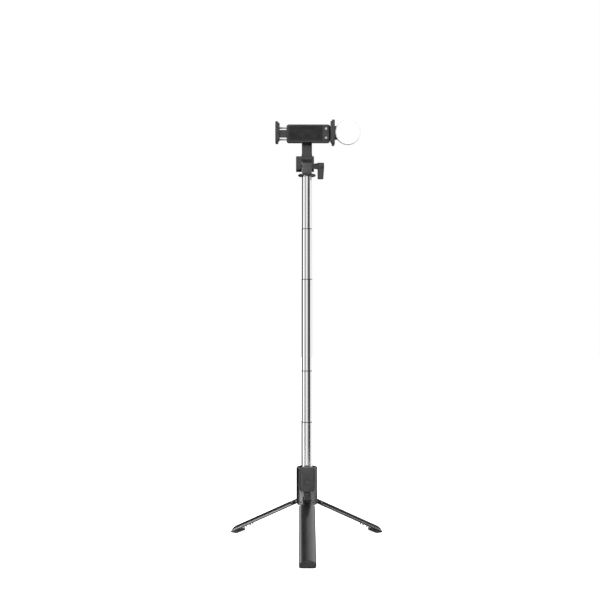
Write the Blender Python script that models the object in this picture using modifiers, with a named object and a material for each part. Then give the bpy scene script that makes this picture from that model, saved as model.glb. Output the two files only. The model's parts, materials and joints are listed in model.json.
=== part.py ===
"""Tripod selfie stick: three folding legs, a five-section steel tube, a tilting phone clamp with a
fill light, and a remote shutter docked in the collar. Units are metres and +Z is up. The origin is
on the floor, in the middle of the footprint's box. Every piece is modelled about the tube's axis."""
import math

import bmesh
import bpy
from mathutils import Matrix, Vector

# ---- Where the tube stands, behind the middle of the footprint ----
AXIS_Y = 0.02626

# ---- Tripod legs, drawn along +X from the hinge pin, outer face up ----
LEG_AZIMUTHS = {"front": -90.0, "right": 30.0, "left": 150.0}
LEG_SLOPE = math.radians(26.5)
HINGE_R = 0.0110
HINGE_Z = 0.0574
LEG_HALF_WIDTH = 0.01105
LEG_TOP = 0.0037
LEG_EDGE = -0.0027
LEG_CROWN = 0.0022
LEG_WALL = 0.0015
LEG_ROOT = 0.0060
SHELL_END = 0.1200
NOSE_START = 0.1160
NOSE_LENGTH = 0.0095
NOSE_DROP = 0.0072
LEG_TIP = NOSE_START + NOSE_LENGTH
WEDGE_START = 0.1120
KNUCKLE_R = 0.0023
KNUCKLE_HALF_WIDTH = 0.0055
LINER_START, LINER_END = 0.0105, 0.1105
TAB_STATIONS = (0.0955, 0.1005)
PIN_R = 0.0010
PIN_HALF_LENGTH = 0.0088

# ---- Hub and collar ----
COLLAR_R = 0.0147
COLLAR_BOTTOM, COLLAR_TOP = 0.0600, 0.1045
HUB_R = 0.0142
HUB_BOTTOM, HUB_STEP, HUB_TOP = 0.0526, 0.0597, 0.0662
SPIGOT_R = 0.0123
SCREW_CIRCLE_R = 0.0104
BUSH_R = 0.0090

# ---- Telescopic tube: section 1 is the widest ----
SLEEVE_R, SLEEVE_BORE = 0.00825, 0.0080
SLEEVE_BOTTOM, SLEEVE_TOP = 0.0080, 0.1005
TUBE_R = 0.00784
TUBE_STEP = 0.00026
TUBE_WALL = 0.00015
TUBE_OVERLAP = 0.0120
TUBE_TOPS = (0.1675, 0.2384, 0.3652, 0.4351, 0.5074)
TUBE_BASE = 0.1050
RING_HEIGHT = 0.0011
GROOVE_AZIMUTH = math.radians(-70.0)
GROOVE_HALF_ANGLE = math.radians(9.0)
GROOVE_DEPTH = 0.00055
TUBE_SIDES = 48

# ---- Tilt head ----
DISC_R = 0.0123
DISC_BOTTOM, DISC_TOP = 0.5075, 0.5104
TILT_Z = 0.5218
POST_HALF_WIDTH, POST_R = 0.0063, 0.0066
EAR_R = 0.0080
LEFT_EAR = (-0.0151, -0.0069)
RIGHT_EAR = (0.0069, 0.0098)
BRIDGE_LOW, BRIDGE_HIGH = 0.0080, 0.0128
BOLT_R, BOLT_BORE = 0.00195, 0.0021
LEVER_DROP = 0.0179

# ---- Phone clamp, centred on its roll axis ----
CLAMP_Z = 0.5640
BOSS_BACK, BOSS_FRONT = 0.0030, -0.0077
HOUSING_X = (-0.0280, 0.0316)
HOUSING_HALF_HEIGHT = 0.0120
HOUSING_Y = (-0.0180, -0.0080)
COVER_Y = (-0.0200, -0.0183)
BACK_PAD_Y = (-0.0212, -0.0203)
JAW_Y = (-0.0325, -0.0131)
SLIDER_X = (-0.0431, -0.0393)
SLIDER_HALF_HEIGHT = 0.0144
FIXED_X = (0.0338, 0.0376)
FIXED_HALF_HEIGHT = 0.01675
PAD_THICKNESS = 0.0012
ROD_DROP, ROD_Y, ROD_R = 0.0080, -0.0149, 0.00125
SPRING_Y, SPRING_RISE = -0.0112, 0.0070

# ---- Fill light ----
LIGHT_X, LIGHT_Z = 0.0556, 0.5650
LIGHT_R = 0.0172
LIGHT_Y = (-0.0250, -0.0175)
LIGHT_HINGE_X, LIGHT_HINGE_Y = 0.0400, -0.0150
LUG_R = 0.0022

# ---- Remote shutter and its dock ----
DOCK_FLOOR_Y = -0.0094
DOCK_R, DOCK_RIM_R = 0.00915, 0.0112
DOCK_CENTRE_Z = 0.0803
REMOTE_R = 0.0086
REMOTE_CENTRE_Z = 0.0806
REMOTE_TOP = 0.1064
REMOTE_Y = (-0.0164, -0.0133, -0.0097)
REMOTE_BUTTON_Z = 0.0871

PARTS = "selfie_stick"
CUTTERS = "cutters"

COLOURS = {
    "black_plastic": ((0.020, 0.020, 0.021), 0.42, 0.0),
    "grey_plastic": ((0.085, 0.085, 0.088), 0.50, 0.0),
    "dock_plastic": ((0.045, 0.045, 0.046), 0.45, 0.0),
    "black_rubber": ((0.015, 0.015, 0.015), 0.85, 0.0),
    "tube_steel": ((0.78, 0.78, 0.79), 0.16, 1.0),
    "screw_steel": ((0.55, 0.55, 0.56), 0.30, 1.0),
    "brass": ((0.70, 0.52, 0.22), 0.30, 1.0),
    "white_plastic": ((0.86, 0.86, 0.86), 0.35, 0.0),
    "diffuser": ((0.95, 0.95, 0.94), 0.30, 0.0),
    "board_green": ((0.02, 0.16, 0.08), 0.50, 0.0),
    "cell_wrap": ((0.35, 0.36, 0.38), 0.45, 0.0),
}


# ---------------------------------------------------------------- scene helpers
def clear_scene():
    for obj in list(bpy.data.objects):
        bpy.data.objects.remove(obj, do_unlink=True)


def new_collection(name, hidden):
    collection = bpy.data.collections.new(name)
    bpy.context.scene.collection.children.link(collection)
    collection.hide_render = hidden
    return collection


def material_for(name, slot):
    """A material of the piece's own, in the finish of its slot."""
    colour, roughness, metallic = COLOURS[slot]
    made = bpy.data.materials.new(name)
    made.use_nodes = True
    shader = made.node_tree.nodes["Principled BSDF"]
    shader.inputs["Base Color"].default_value = (*colour, 1.0)
    shader.inputs["Roughness"].default_value = roughness
    shader.inputs["Metallic"].default_value = metallic
    return made


def put(obj, collection):
    for old in list(obj.users_collection):
        old.objects.unlink(obj)
    bpy.data.collections[collection].objects.link(obj)


def piece(name, obj, slot, parent, location=(0, 0, 0), rotation=(0, 0, 0)):
    """Makes obj the named piece: placed under its parent, with its own material, shaded smooth."""
    obj.name = name
    obj.data.name = name
    obj.parent = parent
    obj.location = location
    obj.rotation_euler = rotation
    obj.data.materials.clear()
    obj.data.materials.append(material_for(name, slot))
    obj.data.shade_smooth()
    obj.data.set_sharp_from_angle(angle=math.radians(35))
    put(obj, PARTS)
    return obj


def empty_at(name, location, parent=None):
    empty = bpy.data.objects.new(name, None)
    empty.location = location
    empty.parent = parent
    empty.empty_display_size = 0.01
    bpy.data.collections[PARTS].objects.link(empty)
    return empty


# ---------------------------------------------------------------- shape helpers
def mesh_object(name, mesh):
    obj = bpy.data.objects.new(name, mesh)
    bpy.data.collections[PARTS].objects.link(obj)
    return obj


def from_bmesh(name, shape):
    mesh = bpy.data.meshes.new(name)
    bmesh.ops.recalc_face_normals(shape, faces=shape.faces)
    shape.to_mesh(mesh)
    shape.free()
    return mesh_object(name, mesh)


def box(x, y, z):
    """A box between two values on each axis."""
    shape = bmesh.new()
    bmesh.ops.create_cube(shape, size=1.0)
    size = Vector((x[1] - x[0], y[1] - y[0], z[1] - z[0]))
    middle = Vector((sum(x) / 2, sum(y) / 2, sum(z) / 2))
    bmesh.ops.scale(shape, vec=size, verts=shape.verts)
    bmesh.ops.translate(shape, vec=middle, verts=shape.verts)
    return from_bmesh("box", shape)


TURNS = {
    "X": Matrix.Rotation(math.pi / 2, 4, "Y"),
    "Y": Matrix.Rotation(-math.pi / 2, 4, "X"),
    "Z": Matrix.Identity(4),
}


def rod(axis, radius, low, high, centre=(0.0, 0.0), sides=24, end_radius=None):
    """A cylinder or cone along X, Y or Z, from low to high. centre gives its other two coordinates."""
    shape = bmesh.new()
    bmesh.ops.create_cone(
        shape,
        cap_ends=True,
        segments=sides,
        radius1=radius,
        radius2=radius if end_radius is None else end_radius,
        depth=high - low,
    )
    others = {"X": (0, *centre), "Y": (centre[0], 0, centre[1]), "Z": (*centre, 0)}[axis]
    along = {"X": Vector((1, 0, 0)), "Y": Vector((0, 1, 0)), "Z": Vector((0, 0, 1))}[axis]
    place = Matrix.Translation(Vector(others) + along * (low + high) / 2)
    bmesh.ops.transform(shape, matrix=place @ TURNS[axis], verts=shape.verts)
    return from_bmesh("rod", shape)


def turned(profile, sides, axis="Z"):
    """A turned shape from (radius, height) points, listed down the outer side and back up the inner."""
    shape = bmesh.new()
    points = [shape.verts.new((r, 0, h)) for r, h in profile]
    closed = profile[0][0] > 0
    for a, b in zip(points, points[1:] + points[:1] if closed else points[1:]):
        shape.edges.new((a, b))
    mesh = bpy.data.meshes.new("turned")
    shape.to_mesh(mesh)
    shape.free()
    obj = mesh_object("turned", mesh)
    screw = obj.modifiers.new("Screw", "SCREW")
    screw.steps = sides
    screw.render_steps = sides
    screw.use_merge_vertices = True
    screw.merge_threshold = 0.00001
    solid = baked(obj)
    solid.data.transform(TURNS[axis])
    return solid


PLANES = {
    "XY": Matrix.Identity(4),
    "XZ": Matrix(((1, 0, 0, 0), (0, 0, -1, 0), (0, 1, 0, 0), (0, 0, 0, 1))),
    "YZ": Matrix(((0, 0, 1, 0), (1, 0, 0, 0), (0, 1, 0, 0), (0, 0, 0, 1))),
}


def plate(plane, outlines, low, high):
    """A flat outline in the named plane, with any holes, extruded between two values across it."""
    curve = bpy.data.curves.new("plate", "CURVE")
    curve.dimensions = "2D"
    curve.fill_mode = "BOTH"
    curve.extrude = (high - low) / 2
    for outline in outlines:
        spline = curve.splines.new("POLY")
        spline.points.add(len(outline) - 1)
        for point, (u, v) in zip(spline.points, outline):
            point.co = (u, v, 0, 1)
        spline.use_cyclic_u = True
    solid = baked(mesh_object("plate", curve))
    middle = (low + high) / 2
    across = {"XY": (0, 0, middle), "XZ": (0, middle, 0), "YZ": (middle, 0, 0)}[plane]
    solid.data.transform(Matrix.Translation(across) @ PLANES[plane])
    return solid


def baked(obj):
    """A new mesh object with obj's curve or modifiers made real, and its loose caps welded."""
    bpy.context.view_layer.update()
    graph = bpy.context.evaluated_depsgraph_get()
    mesh = bpy.data.meshes.new_from_object(obj.evaluated_get(graph))
    shape = bmesh.new()
    shape.from_mesh(mesh)
    bmesh.ops.remove_doubles(shape, verts=shape.verts, dist=0.000002)
    bmesh.ops.recalc_face_normals(shape, faces=shape.faces)
    shape.to_mesh(mesh)
    shape.free()
    made = mesh_object(obj.name, mesh)
    for modifier in obj.modifiers:
        if modifier.type == "BOOLEAN":
            bpy.data.objects.remove(modifier.object, do_unlink=True)
    bpy.data.objects.remove(obj, do_unlink=True)
    return made


def combine(target, operation, others):
    """Adds one Boolean for each of the others, which become hidden helpers that move with target."""
    for other in others:
        other.parent = target
        other.name = "cutter"
        other.hide_render = True
        other.display_type = "WIRE"
        put(other, CUTTERS)
        modifier = target.modifiers.new(operation.title(), "BOOLEAN")
        modifier.operation = operation
        modifier.solver = "EXACT"
        modifier.object = other
    return target


def cut(target, *others):
    return combine(target, "DIFFERENCE", others)


def join(target, *others):
    return combine(target, "UNION", others)


def within(target, *others):
    return combine(target, "INTERSECT", others)


def arc(centre, radius, start, end, steps, radius_v=None):
    """Points on an arc, angles in degrees, both ends included."""
    rise = radius if radius_v is None else radius_v
    angles = [math.radians(start + (end - start) * k / steps) for k in range(steps + 1)]
    return [(centre[0] + radius * math.cos(a), centre[1] + rise * math.sin(a)) for a in angles]


def rounded_rectangle(u, v, radii, steps=4):
    """radii go with the corners (low u, low v), (high, low), (high, high), (low, high)."""
    low_low, high_low, high_high, low_high = radii
    return (
        arc((u[0] + low_low, v[0] + low_low), low_low, 180, 270, steps)
        + arc((u[1] - high_low, v[0] + high_low), high_low, 270, 360, steps)
        + arc((u[1] - high_high, v[1] - high_high), high_high, 0, 90, steps)
        + arc((u[0] + low_high, v[1] - low_high), low_high, 90, 180, steps)
    )


def tongue(half_width, centre_v, top_v, corner, steps=14):
    """An outline with a flat top and a round bottom end, like the remote's."""
    return (
        arc((0, centre_v), half_width, 180, 360, steps)
        + arc((half_width - corner, top_v - corner), corner, 0, 90, 3)
        + arc((corner - half_width, top_v - corner), corner, 90, 180, 3)
    )


# ---------------------------------------------------------------- legs
def leg_frame(azimuth):
    """Location and rotation that stand a leg, drawn along +X from its pin, at this azimuth."""
    turn = math.radians(azimuth)
    place = (HINGE_R * math.cos(turn), HINGE_R * math.sin(turn), HINGE_Z)
    return place, (0.0, LEG_SLOPE, turn)


def nose_curve(start, steps):
    """The tip's rounded upper side, from station start to the tip, as (x, z) points."""
    middle = LEG_TOP - NOSE_DROP
    first = math.asin((start - NOSE_START) / NOSE_LENGTH)
    angles = [first + (math.pi / 2 - first) * k / steps for k in range(steps + 1)]
    return [
        (NOSE_START + NOSE_LENGTH * math.sin(a), middle + NOSE_DROP * math.cos(a))
        for a in angles
    ]


def crown_height(y, top, half_width):
    """The outer face's height at y: an arc that falls by LEG_CROWN at the side walls."""
    radius = (half_width**2 + LEG_CROWN**2) / (2 * LEG_CROWN)
    return top - radius + math.sqrt(radius**2 - y**2)


def leg_section(half_width, top, bottom, edge):
    """The cross-section, in Y and Z: crowned on top, straight at the sides."""
    shoulder = half_width - edge
    steps = 12
    ys = [shoulder - 2 * shoulder * k / steps for k in range(steps + 1)]
    crown = [(y, crown_height(y, top, half_width)) for y in ys]
    side = crown_height(shoulder, top, half_width) - edge
    return [(-half_width, bottom), (half_width, bottom), (half_width, side), *crown, (-half_width, side)]


def leg_plan(start, end, inset):
    reach = LEG_HALF_WIDTH - inset
    return rounded_rectangle((start, end), (-reach, reach), (0.0040, 0.0045, 0.0045, 0.0040))


def floor_height(x):
    """The floor's height in the leg's own frame, under station x of the open leg."""
    return x * math.tan(LEG_SLOPE) - HINGE_Z / math.cos(LEG_SLOPE)


def leg_shell_mesh():
    middle = LEG_TOP - NOSE_DROP
    fall = math.sqrt(1 - ((SHELL_END - NOSE_START) / NOSE_LENGTH) ** 2)
    end = (SHELL_END, middle + NOSE_DROP * fall)
    bend = arc((NOSE_START, middle), NOSE_LENGTH, 82, 90, 2, NOSE_DROP)
    side = [(LEG_ROOT, LEG_EDGE), (SHELL_END, LEG_EDGE), end, *bend, (LEG_ROOT, LEG_TOP)]
    shell = plate("XZ", [side], -LEG_HALF_WIDTH - 0.001, LEG_HALF_WIDTH + 0.001)
    outer = leg_section(LEG_HALF_WIDTH, LEG_TOP, LEG_EDGE - 0.001, 0.0009)
    inner = leg_section(LEG_HALF_WIDTH - LEG_WALL, LEG_TOP - LEG_WALL, LEG_EDGE - 0.001, 0.0005)
    within(shell, plate("YZ", [outer], LEG_ROOT - 0.001, LEG_TIP))
    within(shell, plate("XY", [leg_plan(LEG_ROOT, LEG_TIP, 0.0)], -0.010, 0.010))
    cut(shell, plate("YZ", [inner], LEG_ROOT + LEG_WALL, LEG_TIP))
    shell = baked(shell)
    neck = box((0.0, 0.0095), (-KNUCKLE_HALF_WIDTH, KNUCKLE_HALF_WIDTH), (-0.0021, 0.0019))
    knuckle = rod("Y", KNUCKLE_R, -KNUCKLE_HALF_WIDTH, KNUCKLE_HALF_WIDTH)
    join(shell, neck, knuckle)
    cut(shell, rod("Y", PIN_R + 0.0001, -0.0070, 0.0070, sides=16))
    return baked(shell).data


def leg_liner_mesh():
    half_width = LEG_HALF_WIDTH - LEG_WALL - 0.0004
    outline = rounded_rectangle((LINER_START, LINER_END), (-half_width, half_width), (0.002,) * 4, 3)
    liner = plate("XY", [outline], LEG_EDGE + 0.0005, LEG_EDGE + 0.0017)
    tabs = []
    for station in TAB_STATIONS:
        for low, high in ((0.0078, half_width), (-half_width, -0.0078)):
            tabs.append(box((station - 0.0008, station + 0.0008), (low, high), (-0.0049, -0.0015)))
    join(liner, *tabs)
    return baked(liner).data


def leg_foot_mesh():
    gap = 0.0003
    under = LEG_EDGE - gap
    start = SHELL_END + gap
    down = (math.sin(LEG_SLOPE), -math.cos(LEG_SLOPE))
    fall = (under - floor_height(WEDGE_START)) / (math.cos(LEG_SLOPE) + down[0] * math.tan(LEG_SLOPE))
    heel = (WEDGE_START + down[0] * fall, under + down[1] * fall)
    nose = [p for p in nose_curve(start, 8) if p[1] > floor_height(p[0])]
    toe = (nose[-1][0] + 0.0001, floor_height(nose[-1][0] + 0.0001))
    side = [(WEDGE_START, under), heel, toe, *reversed(nose), (start, under)]
    foot = plate("XZ", [side], -LEG_HALF_WIDTH, LEG_HALF_WIDTH)
    outer = leg_section(LEG_HALF_WIDTH - 0.0002, LEG_TOP, -0.012, 0.0009)
    within(foot, plate("YZ", [outer], WEDGE_START - 0.002, LEG_TIP + 0.002))
    within(foot, plate("XY", [leg_plan(LEG_ROOT, LEG_TIP, 0.0002)], -0.015, 0.010))
    join(foot, box((0.1135, start + 0.0008), (-0.0088, 0.0088), (under - 0.0005, 0.0)))
    return baked(foot).data


def hinge_pin_mesh():
    return rod("Y", PIN_R, -PIN_HALF_LENGTH, PIN_HALF_LENGTH, sides=12).data


def make_legs(axis):
    meshes = {
        "leg_shell": (leg_shell_mesh(), "black_plastic"),
        "leg_liner": (leg_liner_mesh(), "black_plastic"),
        "leg_foot": (leg_foot_mesh(), "black_rubber"),
        "leg_pin": (hinge_pin_mesh(), "screw_steel"),
    }
    for side, azimuth in LEG_AZIMUTHS.items():
        place, rotation = leg_frame(azimuth)
        for kind, (mesh, slot) in meshes.items():
            name = f"{kind}_{side}"
            piece(name, mesh_object(name, mesh.copy()), slot, axis, place, rotation)
    for mesh, _ in meshes.values():
        for obj in [o for o in bpy.data.objects if o.data == mesh]:
            bpy.data.objects.remove(obj, do_unlink=True)


# ---------------------------------------------------------------- hub and collar
def spun(obj, azimuth):
    obj.data.transform(Matrix.Rotation(math.radians(azimuth), 4, "Z"))
    return obj


def make_hub(axis):
    profile = [
        (SPIGOT_R, HUB_TOP),
        (SPIGOT_R, HUB_STEP),
        (HUB_R, HUB_STEP),
        (HUB_R, HUB_BOTTOM + 0.0012),
        (HUB_R - 0.0012, HUB_BOTTOM),
        (0.00845, HUB_BOTTOM),
        (0.00845, HUB_TOP),
    ]
    hub = turned(profile, 48)
    slot_half = KNUCKLE_HALF_WIDTH + 0.0003
    for azimuth in LEG_AZIMUTHS.values():
        cut(hub, spun(box((0.0070, 0.0200), (-slot_half, slot_half), (0.050, 0.0606)), azimuth))
        bore = rod("Y", PIN_R + 0.00006, -0.0094, 0.0094, (HINGE_R, HINGE_Z), 16)
        cut(hub, spun(bore, azimuth))
    for name, azimuth in screw_azimuths().items():
        sink = rod("Z", 0.0020, 0.0500, 0.0545, (SCREW_CIRCLE_R, 0.0), 16)
        hole = rod("Z", 0.0011, 0.0500, 0.0700, (SCREW_CIRCLE_R, 0.0), 12)
        cut(hub, spun(sink, azimuth), spun(hole, azimuth))
        screw = rod("Z", 0.0009, 0.0540, 0.0728, sides=10)
        join(screw, rod("Z", 0.0018, 0.0529, 0.0542, sides=16))
        turn = math.radians(azimuth)
        place = (SCREW_CIRCLE_R * math.cos(turn), SCREW_CIRCLE_R * math.sin(turn), 0)
        piece(name, baked(screw), "screw_steel", axis, place)
    piece("leg_hub", baked(hub), "black_plastic", axis)


def screw_azimuths():
    """Each hub screw stands half way between two legs."""
    return {"hub_screw_rear": 90.0, "hub_screw_left": 210.0, "hub_screw_right": -30.0}


def make_collar(axis):
    profile = [
        (0.0134, COLLAR_TOP),
        (0.0143, COLLAR_TOP - 0.0004),
        (COLLAR_R, COLLAR_TOP - 0.0013),
        (COLLAR_R, COLLAR_BOTTOM),
        (SPIGOT_R + 0.0003, COLLAR_BOTTOM),
        (SPIGOT_R + 0.0003, HUB_TOP + 0.0003),
        (0.0086, HUB_TOP + 0.0003),
        (0.0086, SLEEVE_TOP + 0.0003),
        (BUSH_R + 0.0001, SLEEVE_TOP + 0.0003),
        (BUSH_R + 0.0001, COLLAR_TOP),
    ]
    collar = turned(profile, 48)
    rim_outline = tongue(DOCK_RIM_R, DOCK_CENTRE_Z, 0.1025, 0.0010)
    rim = plate("XZ", [rim_outline], -0.0129, -0.0092)
    join(collar, rim)
    dock_outline = tongue(DOCK_R, DOCK_CENTRE_Z, 0.1100, 0.0010)
    cut(collar, plate("XZ", [dock_outline], -0.0200, DOCK_FLOOR_Y))
    for azimuth in LEG_AZIMUTHS.values():
        cut(collar, spun(box((0.0118, 0.0200), (-0.0062, 0.0062), (0.0590, 0.0655)), azimuth))
    for azimuth in screw_azimuths().values():
        cut(collar, spun(rod("Z", 0.0011, 0.0640, 0.0735, (SCREW_CIRCLE_R, 0.0), 12), azimuth))
    piece("collar", baked(collar), "black_plastic", axis)
    bush = [
        (BUSH_R - 0.0003, 0.1052),
        (BUSH_R, 0.1049),
        (BUSH_R, SLEEVE_TOP + 0.0006),
        (TUBE_R + 0.00012, SLEEVE_TOP + 0.0006),
        (TUBE_R + 0.00012, 0.1052),
    ]
    piece("collar_bush", turned(bush, 48), "black_plastic", axis)


# ---------------------------------------------------------------- telescopic tube
def groove_profile(inward):
    """A tube's outline, moved inward by this much from section 2's, keyway groove and all."""
    outer_r = TUBE_R - TUBE_STEP
    count = 60
    angles = [2 * math.pi * k / count for k in range(count)]
    dense = [GROOVE_AZIMUTH + GROOVE_HALF_ANGLE * (k / 4 - 1) for k in range(9)]
    spread = [a for a in angles if abs(turn_between(a, GROOVE_AZIMUTH)) > GROOVE_HALF_ANGLE * 1.15]
    ordered = sorted(spread + dense, key=lambda a: a % (2 * math.pi))
    points = []
    for a in ordered:
        share = turn_between(a, GROOVE_AZIMUTH) / GROOVE_HALF_ANGLE
        dip = GROOVE_DEPTH * math.cos(share * math.pi / 2) if abs(share) < 1 else 0.0
        points.append(Vector((math.cos(a), math.sin(a))) * (outer_r - dip))
    return [(p.x, p.y) for p in offset_inward(points, inward)]


def turn_between(a, b):
    return (a - b + math.pi) % (2 * math.pi) - math.pi


def offset_inward(points, distance):
    """Moves each point along its own normal, so that nested tubes keep an even gap."""
    moved = []
    for k, here in enumerate(points):
        before, after = points[k - 1], points[(k + 1) % len(points)]
        along = (after - before).normalized()
        moved.append(here + Vector((-along.y, along.x)) * distance)
    return moved


def circle(radius):
    return arc((0, 0), radius, 0, 360 - 360 / TUBE_SIDES, TUBE_SIDES - 1)


def make_tube(axis):
    sleeve = plate("XY", [circle(SLEEVE_R), circle(SLEEVE_BORE)], SLEEVE_BOTTOM, SLEEVE_TOP)
    piece("lower_tube", sleeve, "tube_steel", axis)
    plug = [
        (0.0, 0.0120),
        (0.0076, 0.0120),
        (0.0078, 0.0116),
        (0.0078, SLEEVE_BOTTOM - 0.0003),
        (SLEEVE_R, SLEEVE_BOTTOM - 0.0003),
        (SLEEVE_R, 0.0065),
        (0.0077, 0.0060),
        (0.0, 0.0060),
    ]
    piece("lower_tube_plug", turned(plug, 32), "black_plastic", axis)
    bottoms = (TUBE_BASE - TUBE_OVERLAP, *[top - TUBE_OVERLAP for top in TUBE_TOPS[:-1]])
    for number, (low, high) in enumerate(zip(bottoms, TUBE_TOPS), start=1):
        inward = (number - 2) * TUBE_STEP
        if number == 1:
            outlines = [circle(TUBE_R), circle(TUBE_R - TUBE_WALL)]
        else:
            outlines = [groove_profile(inward), groove_profile(inward + TUBE_WALL)]
        last = number == len(TUBE_TOPS)
        end = high if last else high - RING_HEIGHT
        tube = plate("XY", outlines, low, end)
        piece(f"tube_section_{number}", tube, "tube_steel", axis)
        if not last:
            make_section_ring(number, high, axis)


def make_section_ring(number, top, axis):
    """The plastic guide ring on a section's top end, round the next section."""
    outer = TUBE_R - (number - 1) * TUBE_STEP + 0.00016
    inner = TUBE_R - number * TUBE_STEP + 0.00004
    low = top - RING_HEIGHT + 0.00006
    profile = [(outer - 0.0002, top), (outer, top - 0.0002), (outer, low), (inner, low), (inner, top)]
    piece(f"section_ring_{number}", turned(profile, 48), "black_plastic", axis)


# ---------------------------------------------------------------- tilt head
def make_head(axis):
    middle = (DISC_BOTTOM + DISC_TOP) / 2
    rounding = (DISC_TOP - DISC_BOTTOM) / 2
    rim = [(DISC_R - rounding + u, middle + v) for u, v in arc((0, 0), rounding, 90, -90, 6)]
    disc = turned([*rim, (0.0052, DISC_BOTTOM), (0.0052, DISC_TOP)], 36)
    piece("head_disc", disc, "black_plastic", axis)
    arch = arc((0, TILT_Z), POST_R, 0, 180, 12) + [(-POST_R, 0.5107), (POST_R, 0.5107)]
    post = plate("YZ", [arch], -POST_HALF_WIDTH, POST_HALF_WIDTH)
    join(post, rod("Z", 0.0049, 0.5060, 0.5125), rod("Z", 0.0058, 0.4930, 0.5072))
    cut(post, rod("X", BOLT_BORE, -0.010, 0.010, (0.0, TILT_Z), 20))
    piece("head_post", baked(post), "grey_plastic", axis)


def ear_outline():
    """A clevis ear, in Y and Z about the tilt axis: round below, square above."""
    return arc((0, 0), EAR_R, 180, 360, 12) + [(EAR_R, BRIDGE_HIGH), (-EAR_R, BRIDGE_HIGH)]


def make_bracket(tilt):
    rise = CLAMP_Z - TILT_Z
    bracket = plate("YZ", [ear_outline()], *LEFT_EAR)
    join(
        bracket,
        plate("YZ", [ear_outline()], *RIGHT_EAR),
        box((LEFT_EAR[0] + 0.001, RIGHT_EAR[1] - 0.001), (-0.0070, 0.0070), (BRIDGE_LOW, BRIDGE_HIGH)),
        box((-0.0070, 0.0070), (-0.0040, BOSS_BACK), (BRIDGE_HIGH - 0.001, rise)),
        rod("Y", 0.0100, BOSS_FRONT, BOSS_BACK, (0.0, rise), 32),
    )
    cut(
        bracket,
        rod("X", BOLT_BORE, -0.020, 0.020, sides=20),
        rod("X", 0.0048, -0.020, LEFT_EAR[0] + 0.0032, sides=24),
        rod("Y", BOLT_BORE, -0.010, 0.005, (0.0, rise), 20),
    )
    piece("clamp_bracket", baked(bracket), "black_plastic", tilt)
    bolt = rod("X", BOLT_R, -0.0130, 0.0205, sides=16)
    join(bolt, rod("X", 0.0042, -0.0148, -0.0122, sides=6))
    piece("tilt_bolt", baked(bolt), "screw_steel", tilt)
    screw = rod("Y", BOLT_R, -0.0127, 0.0040, (0.0, rise), 16)
    join(screw, rod("Y", 0.0046, BOSS_BACK + 0.0003, BOSS_BACK + 0.0024, (0.0, rise), 24))
    cut(screw, box((-0.0030, 0.0030), (0.0045, 0.0060), (rise - 0.0004, rise + 0.0004)))
    cut(screw, box((-0.0004, 0.0004), (0.0045, 0.0060), (rise - 0.0030, rise + 0.0030)))
    piece("swivel_screw", baked(screw), "screw_steel", tilt)


def make_knob(tilt):
    knob = rod("X", 0.0040, RIGHT_EAR[1] + 0.0003, 0.0150)
    lever = [
        (0.0147, 0.0),
        (0.0148, -LEVER_DROP + 0.0008),
        (0.0156, -LEVER_DROP),
        (0.0221, -LEVER_DROP),
        (0.0229, -LEVER_DROP + 0.0008),
        (0.0240, 0.0),
    ]
    join(
        knob,
        rod("X", 0.0050, 0.0143, 0.0238, sides=28),
        plate("XZ", [lever], -0.0034, 0.0034),
    )
    cut(knob, rod("X", 0.0034, 0.0095, 0.0182, sides=6), rod("X", 0.0022, 0.0095, 0.0212, sides=16))
    piece("lever_knob", baked(knob), "black_plastic", tilt)
    insert = rod("X", 0.0033, RIGHT_EAR[1] + 0.0006, 0.0180, sides=6)
    cut(insert, rod("X", BOLT_R + 0.0001, 0.009, 0.020, sides=16))
    piece("knob_insert", baked(insert), "brass", tilt)


# ---------------------------------------------------------------- phone clamp
def make_clamp(clamp):
    half = HOUSING_HALF_HEIGHT
    outline = rounded_rectangle(HOUSING_X, (-half, half), (0.003,) * 4)
    housing = plate("XZ", [outline], *HOUSING_Y)
    wall = 0.0016
    cavity = box((HOUSING_X[0] - 0.002, 0.0296), (-0.020, -0.0096), (wall - half, half - wall))
    cut(housing, cavity)
    housing = baked(housing)
    for drop in (-0.0062, 0.0062):
        join(housing, rod("Y", 0.0024, -0.0178, -0.0090, (0.0262, drop), 16))
        cut(housing, rod("Y", 0.0011, -0.0190, -0.0098, (0.0262, drop), 12))
    cut(housing, rod("Y", BOLT_BORE, -0.011, -0.007, (0.0, 0.0), 20))
    piece("clamp_housing", baked(housing), "black_plastic", clamp)

    cover = plate("XZ", [outline], *COVER_Y)
    for name, drop in (("cover_screw_lower", -0.0062), ("cover_screw_upper", 0.0062)):
        cut(cover, rod("Y", 0.0011, -0.021, -0.017, (0.0262, drop), 12))
        cut(cover, rod("Y", 0.0021, -0.021, -0.0190, (0.0262, drop), 16))
        screw = rod("Y", 0.0009, -0.0192, -0.0105, (0.0262, drop), 10)
        join(screw, rod("Y", 0.0018, -0.0200, -0.0191, (0.0262, drop), 16))
        piece(name, baked(screw), "screw_steel", clamp)
    piece("clamp_cover", baked(cover), "black_plastic", clamp)

    pad_outline = rounded_rectangle((-0.0255, 0.0215), (-0.0100, 0.0100), (0.002,) * 4)
    piece("back_pad", plate("XZ", [pad_outline], *BACK_PAD_Y), "black_rubber", clamp)

    nut = rod("Y", 0.0036, -0.0122, -0.0099, sides=6)
    cut(nut, rod("Y", BOLT_R + 0.0001, -0.014, -0.009, sides=16))
    piece("swivel_nut", baked(nut), "brass", clamp)
    make_fixed_jaw(clamp)
    make_spring(clamp)


def jaw_pad(x, half_height):
    outline = rounded_rectangle((JAW_Y[0] + 0.0018, -0.0220), (-half_height, half_height), (0.001,) * 4, 2)
    return plate("YZ", [outline], *x)


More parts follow.
